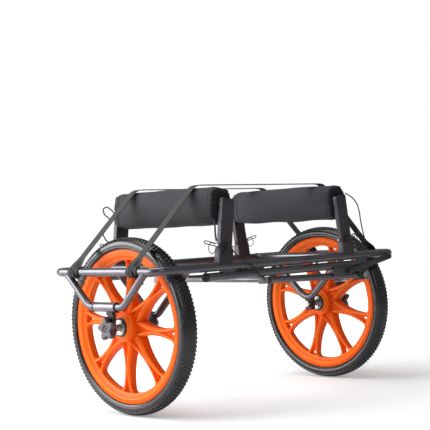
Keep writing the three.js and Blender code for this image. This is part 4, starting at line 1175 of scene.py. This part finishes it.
def strap_line(strap_y):
    """Line of a strap that is drawn over both pads from one end bar to the other, with rounded turns."""
    loop_r = RAIL_R + 0.0014
    angle = np.linspace(0, np.pi, 33)
    rounds = []
    for side in (-1, 1):
        rounds.append(np.stack([LOOP_X * side + loop_r * np.cos(angle), LOOP_Z + loop_r * np.sin(angle)], 1))
        middle = pad_place(pad_grid(0.0)[32:33], side)[0]
        rounds.append(middle[:, [0, 2]] + (0, 0.0034))
    chain = upper_hull(np.concatenate(rounds))
    length = np.concatenate([[0], np.cumsum(np.linalg.norm(np.diff(chain, axis=0), axis=1))])
    even = np.linspace(0, length[-1], 260)
    line = np.stack([np.interp(even, length, chain[:, k]) for k in (0, 1)], 1)
    for _ in range(12):
        line[1:-1] = (line[:-2] + 2 * line[1:-1] + line[2:]) / 4
    return np.stack([line[:, 0], np.full(260, strap_y), line[:, 1]], 1)


def band_section(width, thickness, sides=9):
    """Flat band with round edges, its corners first on one face and then on the other."""
    across = np.linspace(-0.5, 0.5, sides) * (width - thickness)
    half = thickness / 2
    tip = np.linspace(-np.pi / 2, np.pi / 2, 6)[1:-1]
    right = np.stack([across[-1] + half * np.cos(tip), half * np.sin(tip)], 1)
    left = np.stack([across[0] - half * np.cos(tip), -half * np.sin(tip)], 1)
    under, over = np.stack([across, 0 * across - half], 1), np.stack([across[::-1], 0 * across + half], 1)
    return np.concatenate([under, right, over, left])


def strap(place, strap_y):
    """One tie strap in four lengths.

    It spreads into a tent of folds at each end bar.
    """
    line = strap_line(strap_y)
    middle = len(line) // 2
    for hand, side in SIDES.items():
        half = line[: middle + 1] if side < 0 else line[::-1][: middle + 1]
        top = int(np.argmin(np.abs(half[:, 0] - side * OVER_PAD_X)))
        away = np.concatenate([[0], np.cumsum(np.linalg.norm(np.diff(half, axis=0), axis=1))]) - 0.017
        bunched = 1 - smooth_step(away, 0.0, 0.032)
        names = (("rise", half[: top + 1], bunched[: top + 1]), ("span", half[top:], bunched[top:]))
        for part, run, near_bar in names:
            flat = band_section(STRAP_WIDTH, STRAP_THICK, 27)
            section = flat * np.stack([1 + 0.75 * near_bar, np.ones(len(run))], 1)[:, None]
            folds = FOLD_HEIGHT * np.cos(flat[:, 0] * 2 * np.pi / FOLD_STEP) - 22 * flat[:, 0] ** 2
            section[..., 1] += folds * near_bar[:, None]
            ends = surface(f"strap_{part}_{place}_{hand}", carry(run, section, (0, 1, 0)), WEBBING, caps=True)
            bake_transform(ends)
            if side < 0 and part == "rise":
                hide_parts(f"tie_strap_{place}")
        wrap(place, hand, side, strap_y)


def wrap(place, hand, side, strap_y):
    """Two slanted turns of webbing round the end bar, and the short loose tail of the knot below it, in a
    darker copy of the strap's webbing that is painted shade.
    """
    angle = np.linspace(0, 2 * np.pi, 72, endpoint=False)
    turns = ((-0.007, 0.004, 0.0112, 0.013), (0.005, -0.005, 0.0126, 0.011))
    for number, (shift, slant, radius, width) in enumerate(turns):
        uneven = radius * (1 + 0.04 * np.sin(3 * angle + strap_y * 40 + number))
        across = strap_y + shift + slant * np.cos(angle + 0.6)
        path = np.stack([LOOP_X * side + uneven * np.cos(angle), across, LOOP_Z + uneven * np.sin(angle)], 1)
        breadth = np.stack([1 + 0.12 * np.sin(2 * angle + 1), np.ones(72)], 1)
        section = band_section(width, 0.0019)[None] * breadth[:, None]
        grid = carry(path, section, (0, 1, 0), True)
        made = surface(f"strap_loop_{number + 1}_{place}_{hand}", grid, SHADED_WEBBING, along=True)
        on("frame", made, "webbing")
    hang = ((0.0122, 0, 0.003), (0.0125, 0.004, -0.006), (0.006, 0.010, -0.0145), (0, 0.017, -0.020),
            (-0.003, 0.024, -0.027))
    tail = smooth_line([(LOOP_X * side + side * x, strap_y - y, LOOP_Z + z) for x, y, z in hang])
    grid = carry(tail, band_section(0.011, 0.0018), (0.3, 1, 0.2), scale=np.linspace(1, 0.8, len(tail)))
    on("frame", surface(f"strap_tail_{place}_{hand}", grid, SHADED_WEBBING, caps=True), "webbing")


# ---- The cart

photo_camera()
cords()
stage_and_light()
upper_frame()
stand()
cord_hook()
for HAND, SIDE in SIDES.items():
    arches(HAND, SIDE)
    rim(HAND, SIDE)
    hub(HAND, SIDE)
    tyre(HAND, SIDE)
    axle_parts(HAND, SIDE)
    for END, Y_SIDE in ENDS.items():
        socket_cup(END, Y_SIDE, HAND, SIDE)
        post(END, Y_SIDE, HAND, SIDE)
        hitch_pin(END, Y_SIDE, HAND, SIDE)
    pad(HAND, SIDE)
for PLACE, STRAP_Y in STRAP_PLACES.items():
    strap(PLACE, STRAP_Y)
